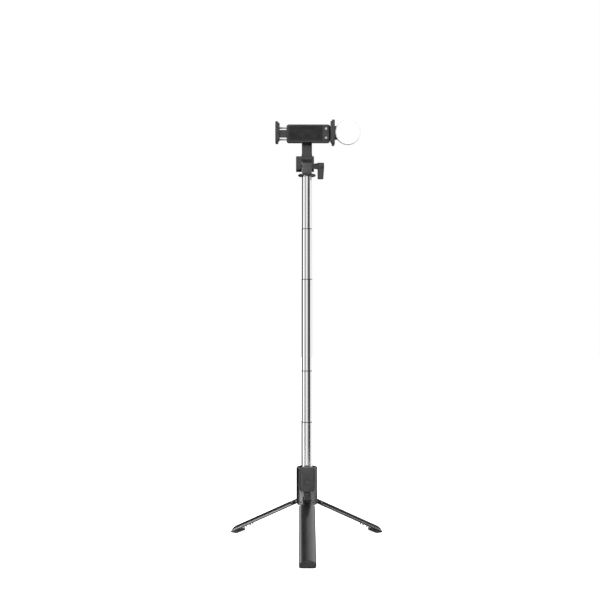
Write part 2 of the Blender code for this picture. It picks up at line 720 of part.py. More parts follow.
def make_fixed_jaw(clamp):
    half = FIXED_HALF_HEIGHT
    outline = rounded_rectangle((JAW_Y[0], -0.0090), (-half, half), (0.003, 0.006, 0.006, 0.003))
    jaw = plate("YZ", [outline], *FIXED_X)
    join(
        jaw,
        box((HOUSING_X[1] + 0.0003, 0.0350), (-0.0200, -0.0095), (-0.0110, 0.0110)),
        box((FIXED_X[0] - 0.0022, 0.0350), (JAW_Y[0], JAW_Y[0] + 0.0015), (-half + 0.003, half - 0.003)),
    )
    for low, high in ((-0.0080, -0.0046), (0.0070, 0.0104)):
        join(jaw, box((0.0370, LIGHT_HINGE_X), (-0.0170, -0.0130), (low, high)))
        join(jaw, rod("Z", LUG_R, low, high, (LIGHT_HINGE_X, LIGHT_HINGE_Y), 16))
    cut(jaw, rod("Z", 0.00096, -0.0100, 0.0120, (LIGHT_HINGE_X, LIGHT_HINGE_Y), 16))
    piece("fixed_jaw", baked(jaw), "black_plastic", clamp)
    pad = jaw_pad((FIXED_X[0] - 0.0003 - PAD_THICKNESS, FIXED_X[0] - 0.0003), half - 0.0020)
    piece("fixed_jaw_pad", pad, "black_rubber", clamp)
    pin = rod("Z", 0.0009, -0.0084, 0.0108, (LIGHT_HINGE_X, LIGHT_HINGE_Y), 12)
    piece("light_hinge_pin", pin, "screw_steel", clamp)


def make_spring(clamp):
    """The return spring between the sliding jaw's arm and the housing's far end, as a coil along X."""
    turns, per_turn, coil_r, wire_r = 9, 8, 0.0011, 0.00022
    low, high = 0.0, 0.0225
    curve = bpy.data.curves.new("clamp_spring", "CURVE")
    curve.dimensions = "3D"
    curve.bevel_depth = wire_r
    curve.bevel_resolution = 1
    curve.use_fill_caps = True
    spline = curve.splines.new("POLY")
    count = turns * per_turn + 1
    spline.points.add(count - 1)
    for k, point in enumerate(spline.points):
        turn = 2 * math.pi * k / per_turn
        x = low + (high - low) * k / (count - 1)
        point.co = (x, SPRING_Y + coil_r * math.cos(turn), SPRING_RISE + coil_r * math.sin(turn), 1)
    spring = baked(mesh_object("clamp_spring", curve))
    piece("clamp_spring", spring, "screw_steel", clamp)


def make_sliding_jaw(clamp):
    half = SLIDER_HALF_HEIGHT
    outline = rounded_rectangle(JAW_Y, (-half, half), (0.003,) * 4)
    jaw = plate("YZ", [outline], *SLIDER_X)
    join(
        jaw,
        box((SLIDER_X[0] + 0.001, -0.0020), (-0.0173, -0.0131), (-0.0050, 0.0050)),
        box((-0.0405, SLIDER_X[1] + 0.0022), (JAW_Y[0], JAW_Y[0] + 0.0015), (-half + 0.003, half - 0.003)),
    )
    for drop in (-ROD_DROP, ROD_DROP):
        cut(jaw, rod("X", ROD_R + 0.00008, -0.0420, -0.0300, (ROD_Y, drop), 16))
    piece("sliding_jaw", baked(jaw), "black_plastic", clamp)
    for name, drop in (("guide_rod_lower", -ROD_DROP), ("guide_rod_upper", ROD_DROP)):
        rail = rod("X", ROD_R, -0.0417, -0.0040, (ROD_Y, drop), 16)
        piece(name, rail, "screw_steel", clamp)
    pad = jaw_pad((SLIDER_X[1] + 0.0003, SLIDER_X[1] + 0.0003 + PAD_THICKNESS), half - 0.0020)
    piece("sliding_jaw_pad", pad, "black_rubber", clamp)


# ---------------------------------------------------------------- fill light
def make_light(hinge):
    """The light's pieces, drawn about its hinge axis."""
    x = LIGHT_X - LIGHT_HINGE_X
    z = LIGHT_Z - CLAMP_Z
    front, back = LIGHT_Y[0] - LIGHT_HINGE_Y, LIGHT_Y[1] - LIGHT_HINGE_Y
    profile = [
        (0.0, -back),
        (LIGHT_R - 0.0022, -back),
        (LIGHT_R - 0.0006, -back + 0.0007),
        (LIGHT_R, -back + 0.0022),
        (LIGHT_R, -front - 0.0006),
        (LIGHT_R - 0.0005, -front),
        (LIGHT_R - 0.0013, -front),
        (LIGHT_R - 0.0013, -back + 0.0014),
        (0.0, -back + 0.0014),
    ]
    cup = turned([(r, -h) for r, h in reversed(profile)], 40)
    cup.data.transform(Matrix.Translation((x, 0, z)) @ TURNS["Y"])
    lug_low, lug_high = -0.0042, 0.0066
    join(
        cup,
        rod("Z", LUG_R, lug_low, lug_high, sides=16),
        box((0.0, 0.0105), (back - 0.0004, 0.0014), (lug_low, lug_high)),
    )
    cut(cup, rod("Z", 0.0010, -0.010, 0.012, sides=16))
    cut(cup, rod("Y", 0.00315, back - 0.003, back + 0.003, (x, z), 20))
    cut(cup, box((x - 0.0045, x + 0.0045), (back - 0.0046, back - 0.0014), (z - 0.020, z - 0.014)))
    piece("light_housing", baked(cup), "white_plastic", hinge)

    dome = [(0.0, 0.0013), (0.0080, 0.0011), (0.0135, 0.0005), (0.0156, 0.0), (0.0156, -0.0011), (0.0, -0.0011)]
    diffuser = turned(dome, 40)
    diffuser.data.transform(Matrix.Translation((x, front + 0.0008, z)) @ Matrix.Rotation(math.pi / 2, 4, "X"))
    piece("light_diffuser", diffuser, "diffuser", hinge)
    board = rod("Y", 0.0148, front + 0.0026, front + 0.0034, (x, z), 32)
    piece("light_led_board", board, "board_green", hinge)
    cell = box((x - 0.0090, x + 0.0090), (back - 0.0038, back - 0.0018), (z - 0.0130, z - 0.0048))
    piece("light_battery", cell, "cell_wrap", hinge)
    button = rod("Y", 0.0029, back - 0.0008, back + 0.0008, (x, z), 20)
    piece("light_button", button, "white_plastic", hinge)


# ---------------------------------------------------------------- remote shutter
def remote_outline(inset):
    return tongue(REMOTE_R - inset, REMOTE_CENTRE_Z, REMOTE_TOP - inset, 0.0012 - inset / 2)


def make_remote(remote):
    """The remote's pieces, drawn about the tube's axis, docked in the collar."""
    front, seam, back = REMOTE_Y
    front_case = plate("XZ", [remote_outline(0.0)], front, seam - 0.0001)
    cut(front_case, plate("XZ", [remote_outline(0.0012)], front + 0.0012, seam + 0.001))
    cut(front_case, rod("Y", 0.0042, front - 0.001, front + 0.003, (0.0, REMOTE_BUTTON_Z), 24))
    piece("remote_front_case", baked(front_case), "dock_plastic", remote)
    back_case = plate("XZ", [remote_outline(0.0)], seam + 0.0001, back)
    for side in (-1, 1):
        for rise in (0.0135, 0.0265 - 0.0010):
            bump = rod("Z", 0.0010, 0.0, 0.0030, (side * (REMOTE_R - 0.0006), -0.0116), 12)
            bump.data.transform(Matrix.Translation((0, 0, REMOTE_CENTRE_Z - 0.0086 + rise)))
            join(back_case, bump)
    cut(back_case, plate("XZ", [remote_outline(0.0012)], seam - 0.001, back - 0.0007))
    piece("remote_back_case", baked(back_case), "dock_plastic", remote)
    button = rod("Y", 0.0039, front - 0.0004, front + 0.0018, (0.0, REMOTE_BUTTON_Z), 24)
    piece("remote_button", button, "dock_plastic", remote)
    board = rounded_rectangle((-0.0066, 0.0066), (0.0790, 0.1030), (0.001,) * 4, 2)
    piece("remote_board", plate("XZ", [board], seam + 0.0002, seam + 0.0010), "board_green", remote)
    cell = rod("Y", 0.0062, seam + 0.0012, seam + 0.0027, (0.0, 0.0920), 24)
    piece("remote_coin_cell", cell, "screw_steel", remote)


# ---------------------------------------------------------------- assembly
def main():
    clear_scene()
    new_collection(PARTS, hidden=False)
    new_collection(CUTTERS, hidden=True)
    axis = empty_at("tube_axis", (0, AXIS_Y, 0))
    tilt = empty_at("tilt_axis", (0, 0, TILT_Z), axis)
    clamp = empty_at("clamp_roll_axis", (0, 0, CLAMP_Z), axis)
    hinge = empty_at("light_hinge_axis", (LIGHT_HINGE_X, LIGHT_HINGE_Y, CLAMP_Z), axis)
    make_legs(axis)
    make_hub(axis)
    make_collar(axis)
    make_tube(axis)
    make_head(axis)
    make_bracket(tilt)
    make_knob(tilt)
    make_clamp(clamp)
    make_sliding_jaw(clamp)
    make_light(hinge)
    make_remote(axis)


main()
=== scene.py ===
"""Looks of the tripod selfie stick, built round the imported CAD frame. Units are metres and +Z is up.

Every detailed piece is drawn in the row's frame, about the tube's axis, and stands for one CAD node."""

import json
import math

import bmesh
import bpy
from mathutils import Matrix, Vector


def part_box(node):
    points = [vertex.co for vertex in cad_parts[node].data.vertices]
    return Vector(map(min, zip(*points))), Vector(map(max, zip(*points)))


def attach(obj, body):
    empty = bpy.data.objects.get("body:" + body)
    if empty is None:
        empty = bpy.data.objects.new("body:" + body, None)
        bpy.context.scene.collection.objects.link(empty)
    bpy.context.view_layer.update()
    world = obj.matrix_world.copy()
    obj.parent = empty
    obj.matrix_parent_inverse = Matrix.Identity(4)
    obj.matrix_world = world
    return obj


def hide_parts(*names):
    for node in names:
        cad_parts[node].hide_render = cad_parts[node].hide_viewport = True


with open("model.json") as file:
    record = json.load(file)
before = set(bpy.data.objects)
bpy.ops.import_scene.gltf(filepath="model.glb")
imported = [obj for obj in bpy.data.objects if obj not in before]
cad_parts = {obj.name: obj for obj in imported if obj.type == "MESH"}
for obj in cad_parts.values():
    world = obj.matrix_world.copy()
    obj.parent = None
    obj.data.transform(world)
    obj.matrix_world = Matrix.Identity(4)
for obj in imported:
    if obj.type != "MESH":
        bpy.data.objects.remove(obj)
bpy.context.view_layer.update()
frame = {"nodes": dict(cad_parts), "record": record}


def middle(node):
    low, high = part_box(node)
    return (low + high) / 2


AXIS_Y = middle("lower_tube").y
TILT_Z = middle("knob_insert").z
CLAMP_Z = middle("back_pad").z
LIGHT = middle("light_diffuser")
HINGE = middle("light_hinge_pin")
# Rounded edges for CAD nodes that keep their own mesh, in metres.
BEVELLED = {
    "leg_hub": 0.0003, "collar_bush": 0.00015, "light_battery": 0.0004, "light_led_board": 0.0001,
    "remote_board": 0.0001, "remote_coin_cell": 0.0002, "swivel_nut": 0.0002,
}
BEVELLED.update({f"hub_screw_{side}": 0.0002 for side in ("rear", "left", "right")})
BEVELLED.update({f"leg_liner_{side}": 0.0001 for side in ("front", "left", "right")})
BODY_OF = {
    node: body for body, members in frame["record"]["behaviour"]["bodies"].items() for node in members
}
SLOT_OF = {entry["node"]: entry["material_slot"] for entry in frame["record"]["subparts"]}

# ---- The tripod leg, drawn along +X from its hinge pin, outer face up ----
LEG_AZIMUTHS = {"front": -90.0, "right": 30.0, "left": 150.0}
LEG_SLOPE = math.radians(26.5)
HINGE_R = 0.0110
HINGE_Z = middle("leg_pin_front").z
LEG_HALF_WIDTH = 0.01103
LEG_TOP = 0.0037
LEG_EDGE = -0.0027
LEG_CROWN = 0.0022
LEG_WALL = 0.0015
LEG_ROOT, LEG_ROOT_ROUND, LEG_ROOT_CORNER = 0.0060, 0.0012, 0.0040
LEG_TIP_CORNER, LEG_SHOULDER, FOOT_SHOULDER = 0.0045, 0.0014, 0.0009
NOSE_START, NOSE_LENGTH, NOSE_DROP = 0.1160, 0.0095, 0.0072
SEAM_START, SEAM_RIDGE, SEAM_BOW, SEAM_GAP = 0.1000, 0.1163, 0.0038, 0.0003
HEEL_X, TOE_X = 0.11412, 0.12524
PIN_R = 0.0010

# ---- The telescopic tube ----
TUBE_R, TUBE_STEP, TUBE_WALL = 0.00784, 0.00026, 0.00015
GROOVE_AZIMUTH, GROOVE_HALF_ANGLE, GROOVE_DEPTH = math.radians(-65.5), math.radians(9.0), 0.00055
GROOVE_FOOT = 0.1708

# ---- The collar, and the remote docked in its front ----
COLLAR_R, COLLAR_TOP, COLLAR_FOOT, COLLAR_ROUND = 0.0147, 0.1045, 0.0600, 0.0014
COLLAR_MOUTH_R, COLLAR_BORE_R, COLLAR_LIP_Z = 0.0091, 0.0086, 0.1008
HUB_SOCKET_R, HUB_SOCKET_TOP = 0.0126, 0.0665
DOCK_R, DOCK_RIM_R, DOCK_Z = 0.00915, 0.0112, 0.0803
DOCK_FLOOR, DOCK_RIM_FRONT = -0.0094, -0.0129
REMOTE_R, REMOTE_Z, REMOTE_TOP = 0.0086, 0.0806, 0.1064
REMOTE_FACE, REMOTE_BACK = -0.0164, -0.0097
BUTTON_Z = 0.0871

# ---- The head ----
DISC_TOP, DISC_FOOT = 0.5104, 0.5075
POST_R, POST_HALF_WIDTH, STEM_R, STEM_FOOT = 0.0072, 0.0067, 0.0058, 0.4930
EAR_R, SHOULDER_Z = 0.0080, TILT_Z + 0.0128
LEFT_EAR, RIGHT_EAR = (-0.0151, -0.0069), (0.0069, 0.0098)
BOLT_R, BOSS_R = 0.00195, 0.0100
BLADE_DROP, BLADE_CORNER = 0.0169, 0.0010

# ---- The phone clamp: heights are from CLAMP_Z ----
HOUSING_X, HOUSING_HALF, HOUSING_CORNER = (-0.0280, 0.0316), 0.0120, 0.0030
COVER_SCREW_X, COVER_SCREW_DROP, COVER_SCREW_R = 0.0262, 0.0062, 0.0009
GUIDE_Y, GUIDE_DROP, GUIDE_R = -0.0149, 0.0080, 0.00125
JAW_FRONT, JAW_LIP = -0.0325, 0.0015
HINGE_Y, LUG_R = -0.0150, 0.0022
LIGHT_R, LIGHT_FRONT, LIGHT_BACK, LIGHT_WALL = 0.0172, -0.0250, -0.0175, 0.0014

WELD_DISTANCE = 2e-7


# ---------------------------------------------------------------- shape helpers
def added(name, data):
    obj = bpy.data.objects.new(name, data)
    bpy.context.scene.collection.objects.link(obj)
    return obj


def from_shape(name, shape, smooth=35.0):
    bmesh.ops.remove_doubles(shape, verts=shape.verts, dist=WELD_DISTANCE)
    bmesh.ops.recalc_face_normals(shape, faces=shape.faces)
    mesh = bpy.data.meshes.new(name)
    shape.to_mesh(mesh)
    shape.free()
    obj = added(name, mesh)
    soften(obj, smooth)
    return obj


def soften(obj, angle):
    """Shades smoothly, with edges sharper than the angle kept crisp."""
    obj.data.shade_smooth()
    obj.data.set_sharp_from_angle(angle=math.radians(angle))


def baked(obj):
    """A new mesh object with obj's curve or modifiers made real."""
    bpy.context.view_layer.update()
    graph = bpy.context.evaluated_depsgraph_get()
    mesh = bpy.data.meshes.new_from_object(obj.evaluated_get(graph))
    shape = bmesh.new()
    shape.from_mesh(mesh)
    bpy.data.meshes.remove(mesh)
    made = from_shape(obj.name, shape)
    bpy.data.objects.remove(obj, do_unlink=True)
    return made


def combine(target, operation, others):
    """Applies one exact Boolean for each of the others, which are then removed."""
    for other in others:
        modifier = target.modifiers.new("Boolean", "BOOLEAN")
        modifier.operation = operation
        modifier.solver = "EXACT"
        modifier.object = other
    made = baked(target)
    for other in others:
        bpy.data.objects.remove(other, do_unlink=True)
    return made


def cut(target, *others):
    return combine(target, "DIFFERENCE", others)


def join(target, *others):
    return combine(target, "UNION", others)


TURNS = {
    "X": Matrix.Rotation(math.pi / 2, 4, "Y"),
    "Y": Matrix.Rotation(-math.pi / 2, 4, "X"),
    "Z": Matrix.Identity(4),
}
PLANES = {
    "XY": Matrix.Identity(4),
    "XZ": Matrix(((1, 0, 0, 0), (0, 0, -1, 0), (0, 1, 0, 0), (0, 0, 0, 1))),
    "YZ": Matrix(((0, 0, 1, 0), (1, 0, 0, 0), (0, 1, 0, 0), (0, 0, 0, 1))),
}


def plate(plane, outlines, low, high, edge=0.0):
    """A flat outline, with any holes, extruded between two values across it, its edges rounded."""
    curve = bpy.data.curves.new("plate", "CURVE")
    curve.dimensions = "2D"
    curve.fill_mode = "BOTH"
    curve.extrude = (high - low) / 2 - edge
    curve.bevel_depth = edge
    curve.bevel_resolution = 3
    curve.offset = -edge
    for outline in outlines:
        spline = curve.splines.new("POLY")
        spline.points.add(len(outline) - 1)
        for point, (u, v) in zip(spline.points, outline):
            point.co = (u, v, 0, 1)
        spline.use_cyclic_u = True
    solid = baked(added("plate", curve))
    centre = (low + high) / 2
    across = {"XY": (0, 0, centre), "XZ": (0, centre, 0), "YZ": (centre, 0, 0)}[plane]
    solid.data.transform(Matrix.Translation(across) @ PLANES[plane])
    return solid


def block(x, y, z, edge=0.0003, segments=3):
    """A box between two values on each axis, with rounded edges."""
    shape = bmesh.new()
    bmesh.ops.create_cube(shape, size=1.0)
    size = Vector((x[1] - x[0], y[1] - y[0], z[1] - z[0]))
    centre = Vector((sum(x) / 2, sum(y) / 2, sum(z) / 2))
    bmesh.ops.scale(shape, vec=size, verts=shape.verts)
    bmesh.ops.translate(shape, vec=centre, verts=shape.verts)
    if edge:
        bmesh.ops.bevel(
            shape, geom=shape.edges[:], offset=edge, segments=segments, profile=0.5, affect="EDGES"
        )
    return from_shape("block", shape)


def lathe(profile, axis="Z", place=(0, 0, 0), sides=96):
    """A turned solid from (radius, height) points: down its outer side, and up its bore if it has one."""
    shape = bmesh.new()
    start = math.pi / 2 if axis == "X" else 0.0
    loops = []
    for radius, height in profile:
        if radius < WELD_DISTANCE:
            loops.append([shape.verts.new((0, 0, height))])
            continue
        angles = [start + 2 * math.pi * k / sides for k in range(sides)]
        loops.append([shape.verts.new((radius * math.cos(a), radius * math.sin(a), height)) for a in angles])
    pairs = list(zip(loops, loops[1:]))
    if profile[0][0] > WELD_DISTANCE:
        pairs.append((loops[-1], loops[0]))
    for upper, lower in pairs:
        for k in range(sides):
            j = (k + 1) % sides
            if len(upper) == 1 and len(lower) > 1:
                shape.faces.new((upper[0], lower[k], lower[j]))
            elif len(lower) == 1 and len(upper) > 1:
                shape.faces.new((upper[k], lower[0], upper[j]))
            elif len(upper) > 1:
                shape.faces.new((upper[k], lower[k], lower[j], upper[j]))
    bmesh.ops.transform(shape, matrix=Matrix.Translation(place) @ TURNS[axis], verts=shape.verts)
    return from_shape("lathe", shape)


def rod(axis, radius, low, high, centre=(0.0, 0.0), edge=0.0002, sides=48):
    """A round bar along an axis from low to high with rounded ends. centre gives its other coordinates."""
    ends = [(0.0, high)]
    ends += [(radius - edge + edge * math.sin(a), high - edge + edge * math.cos(a)) for a in quarter(4)]
    ends += [(radius - edge + edge * math.cos(a), low + edge - edge * math.sin(a)) for a in quarter(4)]
    ends.append((0.0, low))
    place = {"X": (0, *centre), "Y": (centre[0], 0, centre[1]), "Z": (*centre, 0)}[axis]
    return lathe(ends, axis, place, sides)


def quarter(steps):
    """Angles from nought to a right angle."""
    return [math.pi / 2 * k / steps for k in range(steps + 1)]


def loft(name, rings, smooth=35.0, ends=True):
    """Rings of equally many points joined into one closed skin."""
    shape = bmesh.new()
    loops = [[shape.verts.new(point) for point in ring] for ring in rings]
    count = len(rings[0])
    for low, high in zip(loops, loops[1:]):
        for k in range(count):
            j = (k + 1) % count
            shape.faces.new((low[k], low[j], high[j], high[k]))
    if ends:
        shape.faces.new(reversed(loops[0]))
        shape.faces.new(loops[-1])
    return from_shape(name, shape, smooth)


def arc(centre, radius, start, end, steps):
    """Points of a circle's arc between two angles in degrees."""
    angles = [math.radians(start + (end - start) * k / steps) for k in range(steps + 1)]
    return [(centre[0] + radius * math.cos(a), centre[1] + radius * math.sin(a)) for a in angles]


def rounded(u, v, left, right=None):
    """A rectangle with rounded corners. right is the radius at u[1] where it differs."""
    right = left if right is None else right
    return (
        arc((u[0] + left, v[0] + left), left, 180, 270, 6)
        + arc((u[1] - right, v[0] + right), right, 270, 360, 6)
        + arc((u[1] - right, v[1] - right), right, 0, 90, 6)
        + arc((u[0] + left, v[1] - left), left, 90, 180, 6)
    )


def tongue(half_width, centre_v, top_v, corner):
    """An outline with a flat top and a round bottom end, like the remote's."""
    return (
        arc((0, centre_v), half_width, 180, 360, 32)
        + arc((half_width - corner, top_v - corner), corner, 0, 90, 6)
        + arc((corner - half_width, top_v - corner), corner, 90, 180, 6)
    )


def shifted(obj, x=0.0, y=0.0, z=0.0):
    obj.data.transform(Matrix.Translation((x, y, z)))
    return obj


def stands_for(obj, node):
    """obj is the shown shape of a CAD node: it takes the node's body, slot and finish."""
    obj.name = f"{node}_look"
    obj.data.name = obj.name
    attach(obj, BODY_OF[node])
    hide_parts(node)
    finish_of(obj, SLOT_OF[node])
    return obj


def finish_of(obj, slot):
    obj.data.materials.clear()
    obj.data.materials.append(FINISHES[slot])


# ---------------------------------------------------------------- materials
def node_material(name):
    made = bpy.data.materials.new(name)
    made.use_nodes = True
    tree = made.node_tree
    return made, tree, tree.nodes["Principled BSDF"]


def link(tree, source, target):
    tree.links.new(source, target)


def noise_from(tree, scale, detail=3.0, stretch=(1.0, 1.0, 1.0)):
    """Noise over the piece's own coordinates, in metres. stretch scales each axis."""
    coordinates = tree.nodes.new("ShaderNodeTexCoord")
    mapping = tree.nodes.new("ShaderNodeMapping")
    mapping.inputs["Scale"].default_value = stretch
    link(tree, coordinates.outputs["Object"], mapping.inputs["Vector"])
    noise = tree.nodes.new("ShaderNodeTexNoise")
    noise.inputs["Scale"].default_value = scale
    noise.inputs["Detail"].default_value = detail
    link(tree, mapping.outputs["Vector"], noise.inputs["Vector"])
    return noise.outputs["Fac"]


def ramp_between(tree, factor, low, high, start=0.35, end=0.65):
    ramp = tree.nodes.new("ShaderNodeValToRGB")
    ramp.color_ramp.elements[0].position = start
    ramp.color_ramp.elements[1].position = end
    ramp.color_ramp.elements[0].color = low
    ramp.color_ramp.elements[1].color = high
    link(tree, factor, ramp.inputs["Fac"])
    return ramp.outputs["Color"]


def range_of(tree, factor, low, high, start=0.3, end=0.7):
    remap = tree.nodes.new("ShaderNodeMapRange")
    remap.inputs["From Min"].default_value = start
    remap.inputs["From Max"].default_value = end
    remap.inputs["To Min"].default_value = low
    remap.inputs["To Max"].default_value = high
    link(tree, factor, remap.inputs["Value"])
    return remap.outputs["Result"]


def bumped(tree, shader, layers):
    """Adds bumps one on another: (height, strength, distance) for each layer."""
    normal = None
    for height, strength, distance in layers:
        bump = tree.nodes.new("ShaderNodeBump")
        bump.inputs["Strength"].default_value = strength
        bump.inputs["Distance"].default_value = distance
        link(tree, height, bump.inputs["Height"])
        if normal:
            link(tree, normal, bump.inputs["Normal"])
        normal = bump.outputs["Normal"]
    link(tree, normal, shader.inputs["Normal"])


def painted_edge_highlight(tree, colour, highlight_colour, amount):
    """Painted highlight: lightens convex edges a little, as if they caught the light."""
    geometry = tree.nodes.new("ShaderNodeNewGeometry")
    highlight_mask = range_of(tree, geometry.outputs["Pointiness"], 0.0, amount, 0.52, 0.62)
    mix = tree.nodes.new("ShaderNodeMix")
    mix.data_type = "RGBA"
    link(tree, highlight_mask, mix.inputs["Factor"])
    link(tree, colour, mix.inputs["A"])
    mix.inputs["B"].default_value = highlight_colour
    return mix.outputs["Result"]


def grey(value, tint=0.0):
    """A grey colour. tint adds that share of blue."""
    return (value, value, value * (1 + tint), 1.0)


def moulded_plastic(name, value, roughness, grain=2600.0, depth=0.000006, spread=0.25):
    made, tree, shader = node_material(name)
    cloud = noise_from(tree, 90.0)
    colour = ramp_between(tree, cloud, grey(value * (1 - spread), 0.02), grey(value * (1 + spread), 0.02))
    # The convex edges get a painted highlight.
    link(tree, painted_edge_highlight(tree, colour, grey(value * 2.2), 0.2), shader.inputs["Base Color"])
    fine = noise_from(tree, grain, 2.0)
    link(tree, range_of(tree, fine, roughness - 0.06, roughness + 0.08), shader.inputs["Roughness"])
    bumped(tree, shader, [(noise_from(tree, 140.0), 0.12, 0.00005), (fine, 0.5, depth)])
    shader.inputs["Specular IOR Level"].default_value = 0.75
    return made


def rubber(name, value):
    made, tree, shader = node_material(name)
    cloud = noise_from(tree, 120.0)
    colour = ramp_between(tree, cloud, grey(value * 0.7), grey(value * 1.5))
    # The convex edges get a painted highlight.
    link(tree, painted_edge_highlight(tree, colour, grey(value * 3), 0.5), shader.inputs["Base Color"])
    fine = noise_from(tree, 3800.0, 4.0)
    link(tree, range_of(tree, fine, 0.68, 0.92), shader.inputs["Roughness"])
    bumped(tree, shader, [(fine, 0.7, 0.00003)])
    return made


def polished_steel(name, value, roughness):
    made, tree, shader = node_material(name)
    draw_lines = noise_from(tree, 1500.0, 3.0, (1.0, 1.0, 0.012))
    cloud = noise_from(tree, 30.0, 2.0)
    colour = ramp_between(tree, draw_lines, grey(value * 0.95, 0.01), grey(value, 0.015))
    link(tree, colour, shader.inputs["Base Color"])
    shader.inputs["Metallic"].default_value = 1.0
    link(tree, range_of(tree, cloud, roughness - 0.01, roughness + 0.03), shader.inputs["Roughness"])
    bumped(tree, shader, [(draw_lines, 0.10, 0.000004)])
    return made


def plated_steel(name, value, roughness, tint=(1.0, 1.0, 1.0)):
    made, tree, shader = node_material(name)
    marks = noise_from(tree, 700.0, 3.0)
    low = tuple(value * 0.85 * t for t in tint) + (1.0,)
    high = tuple(min(1.0, value * 1.1) * t for t in tint) + (1.0,)
    link(tree, ramp_between(tree, marks, low, high), shader.inputs["Base Color"])
    shader.inputs["Metallic"].default_value = 1.0
    link(tree, range_of(tree, marks, roughness - 0.05, roughness + 0.1), shader.inputs["Roughness"])
    bumped(tree, shader, [(noise_from(tree, 2500.0, 2.0), 0.2, 0.000008)])
    return made


def white_plastic(name, value, roughness, subsurface=0.0, glow=0.0):
    made, tree, shader = node_material(name)
    cloud = noise_from(tree, 60.0)
    low, high = (value * 0.97, value * 0.97, value * 0.96, 1.0), (value, value, value, 1.0)
    link(tree, ramp_between(tree, cloud, low, high), shader.inputs["Base Color"])
    fine = noise_from(tree, 2200.0, 2.0)
    link(tree, range_of(tree, fine, roughness - 0.05, roughness + 0.07), shader.inputs["Roughness"])
    bumped(tree, shader, [(fine, 0.3, 0.000008)])
    shader.inputs["Subsurface Weight"].default_value = subsurface
    shader.inputs["Emission Color"].default_value = grey(1.0)
    shader.inputs["Emission Strength"].default_value = glow
    shader.inputs["Subsurface Radius"].default_value = (0.002, 0.002, 0.002)
    return made


def circuit_board(name):
    made, tree, shader = node_material(name)
    cells = tree.nodes.new("ShaderNodeTexVoronoi")
    cells.feature = "DISTANCE_TO_EDGE"
    cells.inputs["Scale"].default_value = 420.0
    coordinates = tree.nodes.new("ShaderNodeTexCoord")
    link(tree, coordinates.outputs["Object"], cells.inputs["Vector"])
    mask, trace = (0.010, 0.085, 0.040, 1.0), (0.030, 0.190, 0.090, 1.0)
    colour = ramp_between(tree, cells.outputs["Distance"], trace, mask, 0.04, 0.07)
    link(tree, colour, shader.inputs["Base Color"])
    fine = noise_from(tree, 900.0)
    link(tree, range_of(tree, fine, 0.30, 0.45), shader.inputs["Roughness"])
    bumped(tree, shader, [(cells.outputs["Distance"], 0.3, 0.00003)])
    return made


FINISHES = {
    "black_plastic": moulded_plastic("satin_black_plastic", 0.007, 0.17),
    "remote_plastic": moulded_plastic("remote_plastic", 0.022, 0.40, depth=0.00001),
    "grey_plastic": moulded_plastic("head_post_plastic", 0.042, 0.50, 1500.0, 0.00003, 0.35),
    "black_rubber": rubber("black_rubber", 0.016),
    "tube_steel": polished_steel("polished_tube_steel", 0.86, 0.07),
    "steel_hardware": plated_steel("plated_screw_steel", 0.55, 0.28),
    "brass": plated_steel("machined_brass", 0.78, 0.30, (1.0, 0.74, 0.34)),
    "white_plastic": white_plastic("white_light_plastic", 0.86, 0.32),
    "diffuser": white_plastic("milky_diffuser", 0.93, 0.28, 0.4, 0.5),
    "circuit_board": circuit_board("green_circuit_board"),
    "cell_wrap": plated_steel("cell_foil_wrap", 0.35, 0.42),
}
# Dark steel for the keyway: painted shade in the groove's hollow.
KEYWAY_SHADE_STEEL = plated_steel("keyway_painted_shade_steel", 0.06, 0.40)
BLACK_OXIDE = plated_steel("black_oxide_steel", 0.05, 0.40)


# ---------------------------------------------------------------- tripod legs
def leg_matrix(azimuth):
    """Takes a leg from where it is drawn to its open place at an azimuth in degrees."""
    turn = math.radians(azimuth)
    place = Vector((HINGE_R * math.cos(turn), AXIS_Y + HINGE_R * math.sin(turn), HINGE_Z))
    return Matrix.Translation(place) @ Matrix.Rotation(turn, 4, "Z") @ Matrix.Rotation(LEG_SLOPE, 4, "Y")


def sagitta(across, radius):
    """How far a circle has fallen from its tangent at a distance across."""
    return radius - math.sqrt(max(0.0, radius**2 - across**2))


def plan_half_width(x):
    """Half the leg's width at station x, drawn in at its rounded root and tip."""
    root, tip = LEG_ROOT + LEG_ROOT_CORNER, NOSE_START + NOSE_LENGTH - LEG_TIP_CORNER
    pulled = 0.0
    if x < root:
        pulled = sagitta(root - x, LEG_ROOT_CORNER)
    if x > tip:
        pulled = sagitta(x - tip, LEG_TIP_CORNER)
    return LEG_HALF_WIDTH - pulled


def top_at(x):
    """Height of the crown's ridge at station x."""
    if x > NOSE_START:
        share = min(1.0, (x - NOSE_START) / NOSE_LENGTH)
        return LEG_TOP - NOSE_DROP * (1 - math.sqrt(1 - share * share))
    if x < LEG_ROOT + LEG_ROOT_ROUND:
        return LEG_TOP - sagitta(LEG_ROOT + LEG_ROOT_ROUND - x, LEG_ROOT_ROUND)
    return LEG_TOP


def crown_drop(y, half_width):
    """How far the crown has fallen at y on a leg of this half width."""
    return sagitta(y, (half_width**2 + LEG_CROWN**2) / (2 * LEG_CROWN))


def crown_path(half_width, top, foot, fillet, heel=0.0):
    """(y, z) points from one foot of the side wall over the crown to the other. heel rounds the feet."""
    steps, fillet_steps = 20, 8
    side = top - crown_drop(half_width, half_width)
    inner = half_width - fillet
    shoulder = top - crown_drop(inner, half_width)
    right = [(half_width - heel * (1 - math.sin(a)), foot + heel * (1 - math.cos(a))) for a in quarter(4)]
    for k in range(fillet_steps + 1):
        t = k / fillet_steps
        a, b, c = (half_width, side - fillet), (half_width, side), (inner, shoulder)
        weights = ((1 - t) ** 2, 2 * t * (1 - t), t * t)
        right.append(tuple(sum(w * p[i] for w, p in zip(weights, (a, b, c))) for i in (0, 1)))
    crown = [inner - 2 * inner * k / steps for k in range(1, steps)]
    left = [(-y, z) for y, z in reversed(right)]
    return right + [(y, top - crown_drop(y, half_width)) for y in crown] + left


